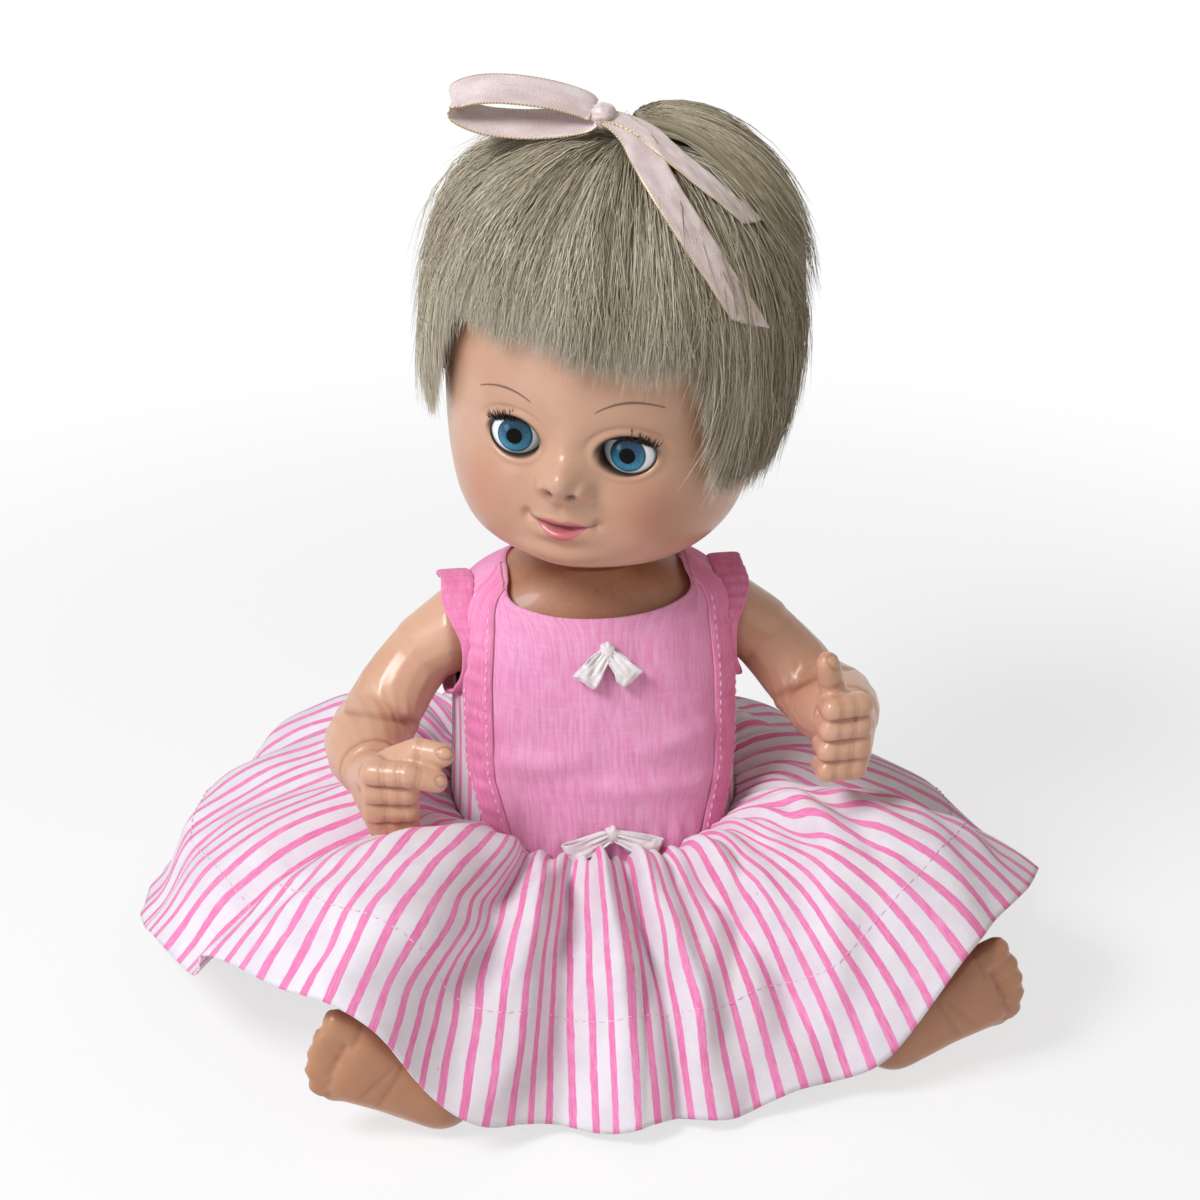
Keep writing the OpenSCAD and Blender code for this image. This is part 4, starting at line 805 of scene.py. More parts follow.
def makeBands():
    for side, word in sides:
        def place(s, t):
            p, out = bibFace(side, dress["binding"] * (1 - s), t, dress["bandOff"])
            arch = math.sin(math.pi * s)
            pucker = 0.3 * rough3(p.x, p.y, p.z, 5) + 0.22 * math.sin(p.z * 0.95 + 2 * rough3(0, 0, p.z, 9))
            rolled = -0.48 * (bell(s, 0.06) + bell(1 - s, 0.06))
            return p + out * (0.55 * arch ** 0.6 + pucker * arch + rolled)

        bm = sheetGrid(22, 170, place, lambda s, t: (s * 0.009 + 0.5 * side, t * dress["bibHigh"] * mm))
        openArmholes(bm, dress["armhole"] + 2)
        rim = bm.verts.layers.float.new("rim")  # the worn edge
        for v in {v for e in bm.edges if e.is_boundary for v in e.verts}:
            v[rim] = 1.0
        obj = thicken(keep(word + "BibBand", bm, look["binding"], "torso"), dress["wall"])
        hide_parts(word + "_bib_binding")
        for share, tag in ((0.14, "Inner"), (0.9, "Outer")):
            line, out = [], []
            for t in (k / 60 for k in range(1, 58)):
                p, n = place(share, t), (bibPt(side, 4, t, 9) - bibPt(side, 4, t, 3)).normalized()
                if math.hypot(p.y, p.z - body["shoulderZ"]) > dress["armhole"] + 4:
                    line.append(p + n * 0.35)
                    out.append(n)
            stitchRow(f"{word}{tag}Stitches", line, out, look["thread"])


def edgeX(y, z):
    c = bodyHalf(z)
    off = dress["bodiceOff"] + dress["cloth"]
    ry = (c[2] * body["front"] if y < 0 else c[3] * body["back"]) + off
    q = 1 - min(abs(y) / ry, 0.98) ** body["power"]
    return min((c[1] * body["halfW"] + off) * q ** (1 / body["power"]), shoulderLimit(z) + off)


def makeArmholeBindings():
    for side, word in sides:
        def place(s, t):
            a = 360 * s
            c, d = cosD(a), sinD(a)
            out = Vector((0, d, c))
            r = dress["armhole"] + 0.9
            wide = lerp(3, 6, ease(ramp(c, -0.6, 0.6)))
            edge = max(edgeX(q * d, body["shoulderZ"] + q * c) for q in (r - 0.7, r + 1.1))
            far = edge + 0.4 + wide + 4.5 * ease(ramp(c, 0.2, 1))
            wide = far - edge + 0.6
            mid = Vector((far - wide / 2, r * d, body["shoulderZ"] + r * c))
            ruck = 0.35 * math.sin(a * 0.55) * ramp(c, 0.1, 0.7) + 0.18 * rough3(d * 9, c * 9, side, 2)
            turn = 2 * math.pi * t
            across = Vector((powered(math.cos(turn), 0.5) * wide / 2, 0, 0))
            p = mid + across + out * (powered(math.sin(turn), 0.7) * 0.8 + ruck)
            return Vector((p.x * side, p.y, p.z))

        bm = sheetGrid(150, 20, place, lambda s, t: (t * 0.014, s * 0.131), closed=True)
        obj = keep(word + "ArmholeBand", bm, look["binding"], "torso")
        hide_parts(word + "_armhole_binding")


# Gathered skirt
legs = {"swing": {-1: 18, 1: -5}}  # how far each foot stands in from its even place
skirt = {"folds": 17, "front": 130, "side": 160, "back": 125, "thick": 0.8, "gathers": 58, "gatherHigh": 2.3,
         "hem": 30, "long": 128, "cols": 720, "rows": 64}
# Turn from the front in degrees, share of the way from front to side reach, height of the hem
hemRows = [np.array(r, float) for r in (
    (0, 0.00, 6), (22, 0.12, 9), (33, 0.55, 20), (42, 1.00, 54), (52, 1.08, 62), (64, 1.05, 52),
    (78, 1.00, 28), (95, 1.00, 13), (130, 1.00, 7), (180, 1.00, 6))]


def foldWave(phi):
    uneven = 38 * sinD(2 * phi + 25) + 20 * sinD(3 * phi)
    return sinD(skirt["folds"] * phi + uneven) * (0.75 + 0.25 * sinD(5 * phi + 60))


def skirtBase(phi, t):
    q = 360 - phi if phi > 180 else phi
    swing = legs["swing"][-1 if phi > 180 else 1] * 0.5
    hem = rowCurve(hemRows, q + swing * bell(q - 42, 26) * ramp(q, 0, 20))
    side = lerp(skirt["front"], skirt["side"], min(hem[1], 1.08))
    reach = lerp(side, skirt["back"], ease(ramp(q, 80, 180)))
    w = bodyPt(phi, waistAt(phi), dress["bodiceOff"] + 0.8)
    leg = bell(q - 40 + swing, 26)
    s = t ** 0.92
    fold = lerp(0.35, 0.6, ramp(q, 30, 70)) * foldWave(phi) * (1.2 + 4.2 * t) * ramp(t, 0, 0.08)
    lift = 4 * t * (1 - t) * (14 + 8 * leg) + 5 * bell(t - 0.12, 0.12) - 5 * bell(0.12, 0.12)
    z = lerp(w.z - 0.3, hem[2], t ** 1.15) + lift + fold * (0.5 + 0.5 * t)
    return Vector((lerp(w.x, reach * sinD(phi), s), lerp(w.y, -reach * cosD(phi), s), max(z, 2.2)))


def skirtNormal(phi, t):
    a = skirtBase((phi + 0.6) % 360, t) - skirtBase((phi - 0.6) % 360, t)
    b = skirtBase(phi, min(t + 0.01, 1)) - skirtBase(phi, max(t - 0.01, 0))
    return b.cross(a).normalized()


# Big soft folds: turn at the waist, turn at the hem, width, height, where they start and end on the way down
drapes = (
    (-38, -46, 14, 9.0, 0.05, 0.9), (-62, -68, 6.0, -10.0, 0.1, 0.9), (-98, -100, 24, 18.0, 0.05, 0.95),
    (-128, -126, 22, 13.0, 0.05, 0.85), (-24, -30, 3.2, -5.5, 0.1, 0.8), (-19, -22, 4.4, 6.0, 0.12, 1.0),
    (-11, -13, 4.2, -9.0, 0.05, 1.0), (-4.0, -1, 3.0, 7.5, 0.0, 0.8), (2.0, 6, 1.9, -7.5, 0.0, 0.7),
    (7, 12, 3.6, 6.5, 0.0, 0.9), (10, 5, 2.0, -6.0, 0.4, 1.0), (18, 30, 3.6, -6.5, 0.05, 0.9),
    (25, 39, 5.5, 5.5, 0.05, 0.9), (38, 50, 3.2, -4.5, 0.1, 0.7), (54, 62, 8, 5.0, 0.1, 0.9),
    (75, 82, 6, -6.0, 0.1, 1.0), (96, 98, 8, 5.0, 0.1, 0.9), (-112, -110, 7, -5.0, 0.1, 1.0),
    (118, 114, 9, -4.0, 0.1, 1.0), (-140, -136, 10, -4.0, 0.1, 1.0))


def drapeLift(phi, t):
    total = 0.0
    for a, b, wide, high, start, end in drapes:
        gap = lapped(phi - lerp(a, b, t))
        if abs(gap) < 3 * wide:
            grown = ease(ramp(t, start, start + 0.18))
            total += high * bell(gap, wide) * grown * (1 - 0.55 * ease(ramp(t, end - 0.2, end)))
    return total


def skirtRuck(phi, t):  # small gathers below the seam and loose creases further out
    close = math.sin(math.radians(skirt["gathers"] * phi) + 2.2 * sinD(7 * phi))
    near = ramp(t, 0, 0.02) * (1 - ease(ramp(t, 0.05, 0.48)))
    x, y = 6 * sinD(phi + 9 * t), 6 * cosD(phi + 9 * t)
    loose = rough3(x, y, t * 2.2, 0.55) * 1.8 + rough3(x, y, t * 1.6 + 5, 1.6) * 4.2
    lap = lapped(phi)
    slant = rough3(lap * 0.16 + 5.5 * t, t * 2.4, 7, 1.0) * 5 * bell(abs(lap) - 38, 30)
    slant *= ease(ramp(t, 0.08, 0.3)) * (1 - 0.6 * ramp(t, 0.7, 1))
    gathered = skirt["gatherHigh"] * near * (0.35 + 0.65 * close)
    return gathered + loose * ease(ramp(t, 0.06, 0.45)) + slant + drapeLift(phi, t)


def skirtPt(phi, t):
    phi %= 360
    p = skirtBase(phi, t)
    p = p + skirtNormal(phi, t) * skirtRuck(phi, t)
    p.z = max(p.z, 1.4)
    return p


def skirtLong(phi):  # from waist to hem, along the plain cloth
    steps = [skirtBase(phi, 1 - j / 20) for j in range(21)]
    return sum((a - b).length for a, b in zip(steps, steps[1:]))


def makeSkirt():
    cols = skirt["cols"]
    turns = [360 * k / cols for k in range(cols + 1)]
    around = [0.0]
    for a, b in zip(turns, turns[1:]):  # the cloth's own length round the skirt, over its folds
        spans = [(skirtPt(b, t) - skirtPt(a, t)).length for t in (0.6, 0.8, 1.0)]
        around.append(around[-1] + sum(spans) / 3)
    count = round(around[-1] / stripes["pitch"])

    def cloth(s, t):
        k = min(int(round(s * cols)), cols)
        return (around[k] / around[-1] * count, t * skirt["long"] * mm)

    bm = sheetGrid(cols, skirt["rows"], lambda s, t: skirtPt(360 * s, t), cloth, closed=True)
    obj = thicken(keep("skirtCotton", bm, look["striped"], "torso"), skirt["thick"])
    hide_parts("skirt")
    line, out = [], []
    for phi in turns:
        t = 1 - skirt["hem"] / skirtLong(phi % 360)
        n = skirtNormal(phi % 360, t)
        line.append(skirtPt(phi, t) + n * 0.5)
        out.append(n)
    row = stitchRow("hemStitches", line, out, look["whiteThread"], 2.4, 1.2, 0.26)
    print("doll: skirt cloth", round(clothArea(obj), 4), "square metres,", count, "stripes")


# White bows on the bib
bows = {"ribbon": 7.0, "knot": 2.6, "knotHalf": (2.5, 2.1, 3.0), "start": 1.4, "wall": 0.35}
bowRows = (  # piece, node, height, reach of the loops, drop of the tails, hang of the loops in degrees, seed
    ("chestBowSatin", "chest_bow", dress["neckZ"] - 12, 12, 9, 54, 3),
    ("waistBowSatin", "waist_bow", dress["waistZ"] + 12.5, 16, 4, 25, 11))


# Ribbon along a path; drawn gives the share of its width at a place along it
def ribbonStrip(path, across, width, cols, rows, crumple, seed, drawn=None):
    def place(s, t):
        k = t * (len(path) - 1)
        i = min(int(k), len(path) - 2)
        p, w = path[i].lerp(path[i + 1], k - i), across[i].lerp(across[i + 1], k - i)
        ahead = (path[i + 1] - path[i]).normalized()
        w = (w - ahead * w.dot(ahead)).normalized()
        n = ahead.cross(w)
        wave = crumple * (rough3(s * 5, t * 14, seed, 1.0) + 0.5 * math.sin(s * 9 + t * 17 + seed))
        share = drawn(t) if drawn else 1.0
        pleat = 0.9 * (1 - share) * math.cos(19 * (s - 0.5))
        return p + w * width * share * (s - 0.5) + n * (wave + pleat)

    long = sum((path[k + 1] - path[k]).length for k in range(len(path) - 1))
    return sheetGrid(cols, rows, place, lambda s, t: (s, t * long * mm)), long


def joinPieces(name, parts, finish, body):
    whole = bmesh.new()
    for bm in parts:
        mesh = bpy.data.meshes.new("part")
        bm.to_mesh(mesh)
        bm.free()
        whole.from_mesh(mesh)
        bpy.data.meshes.remove(mesh)
    return keep(name, whole, finish, body)


def satinKnot(around, rows, cloth, place):  # a small ball, mapped first and then shaped
    bm = bmesh.new()
    layer = bm.loops.layers.uv.new("cloth")
    bmesh.ops.create_uvsphere(bm, u_segments=around, v_segments=rows, radius=1.0)
    for f in bm.faces:
        for loop in f.loops:
            loop[layer].uv = cloth(loop.vert.co)
    for v in bm.verts:
        v.co = place(v.co.copy()) * mm
    return bm


def bibFront(z):
    return bodyPt(0, z, 0).y


def bowLoop(side, span, sag):
    path = []
    for a in (math.pi * k / 24 for k in range(25)):
        c, s = math.cos(a), math.sin(a)
        deep = (1.3 if a < 1.57 else 2.9) * c * (0.35 + s) - 0.6 * s
        path.append(sag @ Vector((side * (bows["start"] + span * s ** 0.8), deep, 0.8 * s)))
    return path


def bowTail(side, span, drop):
    path = []
    for u in (k / 16 for k in range(17)):
        x = bows["start"] + 0.55 * span * u + 1.2 * math.sin(5 * u)
        path.append(Vector((side * x, 0.9 - 1.5 * math.sin(math.pi * u), -1.4 - drop * u)))
    return path


def makeBow(name, node, z, span, drop, hang, seed):
    y = bibFront(z) - dress["bibOff"] - dress["cloth"] - 0.3 - bows["knot"]
    slope = math.atan2(bibFront(z + 4) - bibFront(z - drop - 4), drop + 8)
    turn = Matrix.Translation((0, y, z)) @ Matrix.Rotation(-slope, 4, "X")
    parts = []
    for side in (-1, 1):
        sag = Matrix.Rotation(side * math.radians(hang), 3, "Y")
        strips = ((bowLoop(side, span, sag), sag @ Vector((0, 0, side)), bows["ribbon"] * 1.25,
                   lambda t: 0.4 + 0.6 * sinD(180 * t) ** 0.6),
                  (bowTail(side, span, drop), Vector((side * 0.8, 0, 0.5)), bows["ribbon"],
                   lambda t: 0.5 + 0.5 * min(1, 1.6 * t)))
        for path, across, wide, drawn in strips:
            placed, ways = [turn @ p for p in path], [turn.to_3x3() @ across] * len(path)
            parts.append(ribbonStrip(placed, ways, wide, 14, 3 * len(path), 0.5, seed + side, drawn)[0])

    def crumpled(d):
        ruck = rough3(d.x * 3, d.y * 3, d.z * 3 + seed, 1.0)
        pinch = 1 + 0.1 * math.sin(6 * math.atan2(d.z, d.x)) + 0.08 * ruck
        a, b, c = bows["knotHalf"]
        return turn @ Vector((d.x * a * pinch, d.y * b * pinch, d.z * c * pinch))

    parts.append(satinKnot(24, 16, lambda d: (0.5 + d.x * 0.3, d.z * 0.006), crumpled))
    obj = thicken(joinPieces(name, parts, look["whiteSatin"], "torso"), bows["wall"])
    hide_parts(node)
    clothArea(obj) / 0.01


makeBodice()
makeBib()
makeBands()
makeArmholeBindings()
makeSkirt()
for row in bowRows:
    makeBow(*row)
print("doll: dress sewn")

# Head
skull = {"halfW": 56, "front": 55, "back": 61, "mid": 80, "crown": 65, "base": 2.2, "tilt": 5, "turn": -22}
headAt = (Matrix.Translation((0, 0, body["height"])) @ Matrix.Rotation(math.radians(skull["tilt"]), 4, "Y")
          @ Matrix.Rotation(math.radians(skull["turn"]), 4, "Z"))
jawRows = [np.array(r) for r in (  # shares of mid, half width, front and back
    (0.0275, 0.277, 0.28, 0.25), (0.075, 0.275, 0.30, 0.26), (0.105, 0.37, 0.48, 0.31),
    (0.145, 0.56, 0.72, 0.38), (0.20, 0.72, 0.86, 0.50), (0.30, 0.84, 0.92, 0.65),
    (0.45, 0.915, 0.955, 0.78), (0.62, 0.96, 0.975, 0.88), (0.79, 0.985, 0.99, 0.96),
    (1.00, 1.00, 1.00, 1.00))]


def skullHalf(h):
    if h >= skull["mid"]:
        k = math.sqrt(max(1 - ((h - skull["mid"]) / skull["crown"]) ** 2, 0.0))
        return k * skull["halfW"], k * skull["front"], k * skull["back"]
    c = rowCurve(jawRows, h / skull["mid"])
    return c[1] * skull["halfW"], c[2] * skull["front"], c[3] * skull["back"]


def eyeShare(x, h):  # 1 on the edge of the eye opening
    across = (abs(x) - face["eyeX"]) / (face["openW"] / 2)
    return math.hypot(across, (h - face["eyeH"]) / (face["openH"] / 2))


def faceForm(x, h):  # how far the face stands out of the plain head
    ax, e = abs(x), h - face["eyeH"]
    button = (x / 6.6) ** 2 + ((e + 9.0) / (6.2 if e > -9.0 else 8.6)) ** 2
    slit = face["mouthCurl"] * x * x - face["mouthDown"]
    form = 3.4 * bell(ax - 27, 14) * bell(e + 23, 14)  # cheeks
    form += 9.8 * math.exp(-button ** 1.25) + 1.8 * bell(x, 5) * bell(e - 1, 8)  # nose and its bridge
    form += 3.9 * bell(ax - 7.4, 2.4) * bell(e + 12.2, 3.2)  # sides of the nose
    form -= 2.4 * bell(ax - face["nostrilX"], 1.6) * bell(e + face["nostrilDown"], 1.6)
    form -= 0.8 * bell(x, 1.6) * bell(e + 19.5, 2.8)  # groove under the nose
    form += 2.2 * bell(ax - 30, 11) * bell(e + 33, 9)  # jowls
    form += 1.0 * bell(x, 9.5) * bell(e + 22.4, 3.4) + 1.8 * bell(x, 7.5) * bell(e + 25.2, 1.9)  # upper lip
    form += 3.0 * bell(x, 7) * bell(e + 30.4, 2.5)  # lower lip
    form -= 2.2 * bell(x, 8.0) * bell(e - slit, 0.95)
    form -= 1.7 * bell(ax - 11.8, 1.8) * bell(e + 25.2, 2.2)  # corners of the mouth
    form -= 0.9 * bell(x, 8) * bell(e + 35, 2.2)
    form += 3 * bell(x, 11) * bell(e + 40, 6)  # chin
    form -= 2.8 * bell(ax - face["eyeX"], 9) * bell(e, 8)  # hollows round the eyes
    rho = eyeShare(x, h)
    form += 0.7 * bell(rho - 1.1, 0.13)
    form -= 0.5 * bell(rho - 1.42, 0.1) * ramp(e, 0, 5)
    return form


def ringPt(phi, h, w, front, back):
    return Vector((w * sinD(phi), -cosD(phi) * (front if cosD(phi) > 0 else back), h))


def headBase(phi, h):
    return ringPt(phi, h, *skullHalf(h))


def headPt(phi, h):
    p = headBase(phi, h)
    return Vector((p.x, p.y - ease(ramp(cosD(phi), 0, 0.4)) * faceForm(p.x, h), h))


def outWay(p):
    q = Vector((p.x, p.y, p.z - skull["mid"] if p.z >= skull["mid"] else 0))
    return q.normalized()


def onHead(x, h):  # the face surface at a place given from the front
    w = max(skullHalf(h)[0], abs(x) + 1e-6)
    return headPt(math.degrees(math.asin(x / w)), h)


def eyeRims(bm):  # cuts the eye openings and gives back their edges
    gone = []
    for f in bm.faces:
        c = f.calc_center_median() / mm
        if c.y < face["frontY"] and eyeShare(c.x, c.z) < 1.0:
            gone.append(f)
    bmesh.ops.delete(bm, geom=gone, context="FACES")
    rims = [e for e in bm.edges if e.is_boundary and e.verts[0].co.z / mm > face["neckTop"]]
    for v in {v for e in rims for v in e.verts}:  # true the opening's edge
        x, h = v.co.x / mm, v.co.z / mm
        cx, ch = math.copysign(face["eyeX"], x), face["eyeH"]
        k = eyeShare(x, h)
        v.co = onHead(cx + (x - cx) / k, ch + (h - ch) / k) * mm
    return rims


def turnRimsIn(bm, rims):  # the lid rim turns in towards the eyeball
    for share, inset in ((0.18, 0.985), (1.0, 0.965)):
        grown = bmesh.ops.extrude_edge_only(bm, edges=rims)["geom"]
        rims = [g for g in grown if isinstance(g, bmesh.types.BMEdge) and g.is_boundary]
        for v in [g for g in grown if isinstance(g, bmesh.types.BMVert)]:
            cx, ch = math.copysign(face["eyeX"], v.co.x), face["eyeH"]
            x, h = cx + (v.co.x / mm - cx) * inset, ch + (v.co.z / mm - ch) * inset
            deep = math.sqrt(max(eye["rimRadius"] ** 2 - (x - cx) ** 2 - (h - ch) ** 2, 0.5))
            y = v.co.y / mm
            v.co = Vector((x, lerp(y, max(-eye["back"] - deep, y), share), h)) * mm


def makeHead():
    heights = [skull["base"], 3.5, 5.0] + [6.0 + 0.5 * k for k in range(29)]
    heights += [20.6 + 0.62 * k for k in range(96)]  # the rows are close from the jaw to the brow
    heights += [skull["mid"] + skull["crown"] * sinD(a) for a in np.linspace(1.0, 90, 44)]
    rows, cols = len(heights) - 1, 320

    def turnOf(s):
        a = 360 * s - 180
        return a - 34 * sinD(a)

    def place(s, t):
        return headPt(turnOf(s), heights[round(t * rows)])

    def paint(s, t):
        p = place(s, t)
        wide = math.copysign(abs(p.x) + max(0, p.y + 8), turnOf(s) or 1)
        return (wide / face["mapWide"] + 0.5, p.z / face["mapWide"])

    bm = sheetGrid(cols, rows, place, paint, closed=True)
    turnRimsIn(bm, eyeRims(bm))
    layer = bm.loops.layers.uv["cloth"]
    for f in bm.faces:  # the new rim takes its paint from where it stands
        for loop in f.loops:
            p = loop.vert.co / mm
            if p.y < face["frontY"]:
                loop[layer].uv = (p.x / face["mapWide"] + 0.5, p.z / face["mapWide"])
    bmesh.ops.recalc_face_normals(bm, faces=bm.faces)
    for v in bm.verts:
        v.co = (headAt @ (v.co / mm)) * mm
    obj = keep("vinylHead", bm, look["faceVinyl"], "head")
    obj.data.uv_layers["cloth"].name = "faceMap"
    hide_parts("head_shell")


# Sleep eyes
def makeEyeball(word, centre):
    crosswise = Matrix.Rotation(math.pi / 2, 4, "Y")
    bm = bmesh.new()
    layer = bm.loops.layers.uv.new("eyeMap")
    bmesh.ops.create_uvsphere(bm, u_segments=64, v_segments=48, radius=eye["radius"], matrix=crosswise)
    for f in bm.faces:
        mid = f.calc_center_median()
        about = math.atan2(mid.z, -mid.y)
        for loop in f.loops:
            p = loop.vert.co
            a = math.atan2(p.z, -p.y) if math.hypot(p.y, p.z) > 0.01 else about
            if a - about > math.pi:
                a -= 2 * math.pi
            if about - a > math.pi:
                a += 2 * math.pi
            loop[layer].uv = (p.x / eye["mapWide"] + 0.5, a / (2 * math.pi) + 0.5)
    for sign in (-1, 1):  # pivot pins
        pin = Matrix.Translation((sign * eye["pinX"], 0, 0)) @ crosswise
        bmesh.ops.create_cone(bm, cap_ends=True, segments=24, radius1=eye["pinRadius"],
                              radius2=eye["pinRadius"], depth=eye["pinLong"], matrix=pin)
    for v in bm.verts:
        v.co = (headAt @ (v.co + centre)) * mm
    ball = keep(word + "SleepEye", bm, look["eye"], word + "_eye")
    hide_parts(word + "_eyeball")


def onEye(centre, x, a, lift, lean=0.0):  # a place over the eyeball, turned by a about its pins
    r = math.sqrt(eye["radius"] ** 2 - x * x) + lift
    return headAt @ (centre + Vector((x + lean, -r * math.cos(a), r * math.sin(a))))


def makeLashes(side, word, centre):
    half = eye["lashHalf"]

    def strip(s, t):  # the dark band that holds the lashes
        x = lerp(-half, half, s) * side
        a = math.radians(lerp(27.5, 34.0, t) - 6.5 * (x / half) ** 2)
        return onEye(centre, x, a, 0.22 + 0.3 * math.sin(math.pi * t))

    bm = sheetGrid(40, 8, strip)
    band = thicken(keep(word + "LashBand", bm, look["lash"], word + "_eye"), 0.2)
    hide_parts(word + "_lashes")
    thick = np.array([0.26, 0.25, 0.21, 0.14, 0.03])
    count, points = eye["lashes"], len(thick)
    paths = np.zeros((count, points, 3))
    for k in range(count):
        x = max(-half, min(half, lerp(-half, half, k / (count - 1)) + chance.normal(0, 0.35)))
        outer = ramp(x * side, -6, 8.4)  # longer towards the temple
        a = math.radians(26.5 - 5.5 * (x / half) ** 2 + 3 * chance.random())
        long = (3.5 + 1.3 * outer) * (0.65 + 0.55 * chance.random())
        lean = x * 0.035 + 0.26 * (chance.random() - 0.5)
        for j in range(points):
            u = j / (points - 1)
            curled = a + math.radians(12) * u ** 1.5
            paths[k, j] = onEye(centre, x, curled, 0.2 + long * u, lean * long * u * 1.6)
    strandPiece(word + "Lashes", paths, thick, np.full(count, 0.1), look["lash"], word + "_eye")


def makeEyes():
    for side, word in sides:
        centre = Vector((side * face["eyeX"], -eye["back"], face["eyeH"]))
        makeEyeball(word, centre)
        makeLashes(side, word, centre)


# Strands: one long grid, cut into small three-sided tapering tubes
tones = 64  # shades that a strand can have, side by side on its map


def strandPiece(name, paths, thick, shade, finish, body):
    count, points = paths.shape[:2]
    wide = 4 * count - 1
    bm = bmesh.new()
    bmesh.ops.create_grid(bm, x_segments=wide, y_segments=points - 1, size=0.5)
    gap = [f for f in bm.faces if int((sum(v.co.x for v in f.verts) / 4 + 0.5) * wide) % 4 == 3]
    bmesh.ops.delete(bm, geom=gap, context="FACES")
    mesh = bpy.data.meshes.new(name)
    bm.to_mesh(mesh)
    bm.free()
    co = readArray(mesh.vertices, "co", 3)
    col = np.rint((co[:, 0] + 0.5) * wide).astype(int)
    row = np.rint((co[:, 1] + 0.5) * (points - 1)).astype(int)
    strand, corner = col // 4, col % 4
    ahead = np.gradient(paths, axis=1)
    ahead /= np.linalg.norm(ahead, axis=2, keepdims=True) + 1e-9
    guide = np.broadcast_to(np.array([0.31, -0.74, 0.6]), paths.shape)
    side = np.cross(ahead, guide)
    side /= np.linalg.norm(side, axis=2, keepdims=True) + 1e-9
    up = np.cross(ahead, side)
    radius = np.broadcast_to(thick, (count, points))
    turn = (2 * np.pi / 3 * (corner % 3) + strand)[:, None]
    spoke = np.cos(turn) * side[strand, row] + np.sin(turn) * up[strand, row]
    flat = radius[strand, row][:, None] * spoke
    mesh.vertices.foreach_set("co", ((paths[strand, row] + flat) * mm).astype(np.float32).ravel())
    loops = readArray(mesh.loops, "vertex_index", 1, np.int32)[:, 0]
    u = (np.floor(shade[strand] * (tones - 1)) + 0.2 + 0.2 * corner) / tones
    uv = np.stack([u[loops], row[loops] / (points - 1) * 0.98 + 0.01], 1)
    mesh.uv_layers.new(name="OFBake").data.foreach_set("uv", uv.astype(np.float32).ravel())
    bm = bmesh.new()
    bm.from_mesh(mesh)
    bmesh.ops.remove_doubles(bm, verts=bm.verts, dist=1e-8)
    bmesh.ops.recalc_face_normals(bm, faces=bm.faces)
    bpy.data.meshes.remove(mesh)
    return keep(name, bm, finish, body)


# Hair: a bed close to the scalp with strands over it
hair = {"thick": 7.5, "fringe": 92, "side": 44, "clumps": 240, "thin": 0.78, "shortest": 14, "tipTuck": 0.10}


def hairHalf(h):
    d = ramp(skull["mid"] - h, 0, skull["mid"] - hair["side"])
    return (skull["halfW"] + hair["thick"] - 5 * d * d, skull["front"] + hair["thick"],
            skull["back"] + hair["thick"] - 9 * d * d)


def hairEdge(phi):
    a = abs(phi)
    side = hair["side"] + 9 * ramp(-phi, 30, 60) * (1 - ramp(a, 100, 150)) - 5 * ramp(a, 110, 180)
    fringe = hair["fringe"] - 4 * sinD(phi) - 2.5 * bell(phi - 18, 14) + 2 * bell(phi + 10, 9)
    first = 44 - 7 * ramp(phi, 0, 30)
    return lerp(fringe, side, ease(ramp(a, first, first + 19)))


def hairEnd(phi):  # how far down the hair goes, counted in steps of about a millimetre from the crown
    e = hairEdge(phi)
    if e >= skull["mid"]:
        return math.degrees(math.acos((e - skull["mid"]) / skull["crown"]))
    return 90 + skull["mid"] - e


def hairPt(phi, a, share):  # share 0 is on the scalp, 1 on the outside of the hair
    h = skull["mid"] + skull["crown"] * cosD(a) if a <= 90 else skull["mid"] - (a - 90)
    h = max(h, 6)
    base = headBase(phi, h)
    if h >= skull["mid"]:
        out = base + outWay(base) * hair["thick"]
    else:
        out = ringPt(phi, h, *hairHalf(h))
    skin = headPt(phi, h)
    return skin + (out - skin) * share


def hairFluff(phi, a):  # brushed up loosely on the doll's right
    return 0.85 * bell(phi + 95, 55) * bell(a - 50, 26)


def makeHairBed():
    def place(s, t):
        phi = 360 * s - 180
        a = lerp(0.5, hairEnd(phi) - 7 - 9 * bell(abs(phi) - 60, 14), t)  # ends under the strands
        lift = 0.62 + 0.08 * rough3(phi * 0.3, a * 0.05, 3, 1.0) - 0.52 * ease(ramp(t, 0.74, 1))
        return headAt @ hairPt(phi, a, lift * (1 + hairFluff(phi, a)))

    bm = sheetGrid(260, 70, place, lambda s, t: (s * 0.36, t * 0.12), closed=True)
    obj = thicken(keep("hairBed", bm, look["hairBed"], "head"), 1.2, -1.0)
    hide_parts("hair_cap")


def strandTone(middle, *waves):
    return min(0.999, max(0.0, middle + sum(waves)))


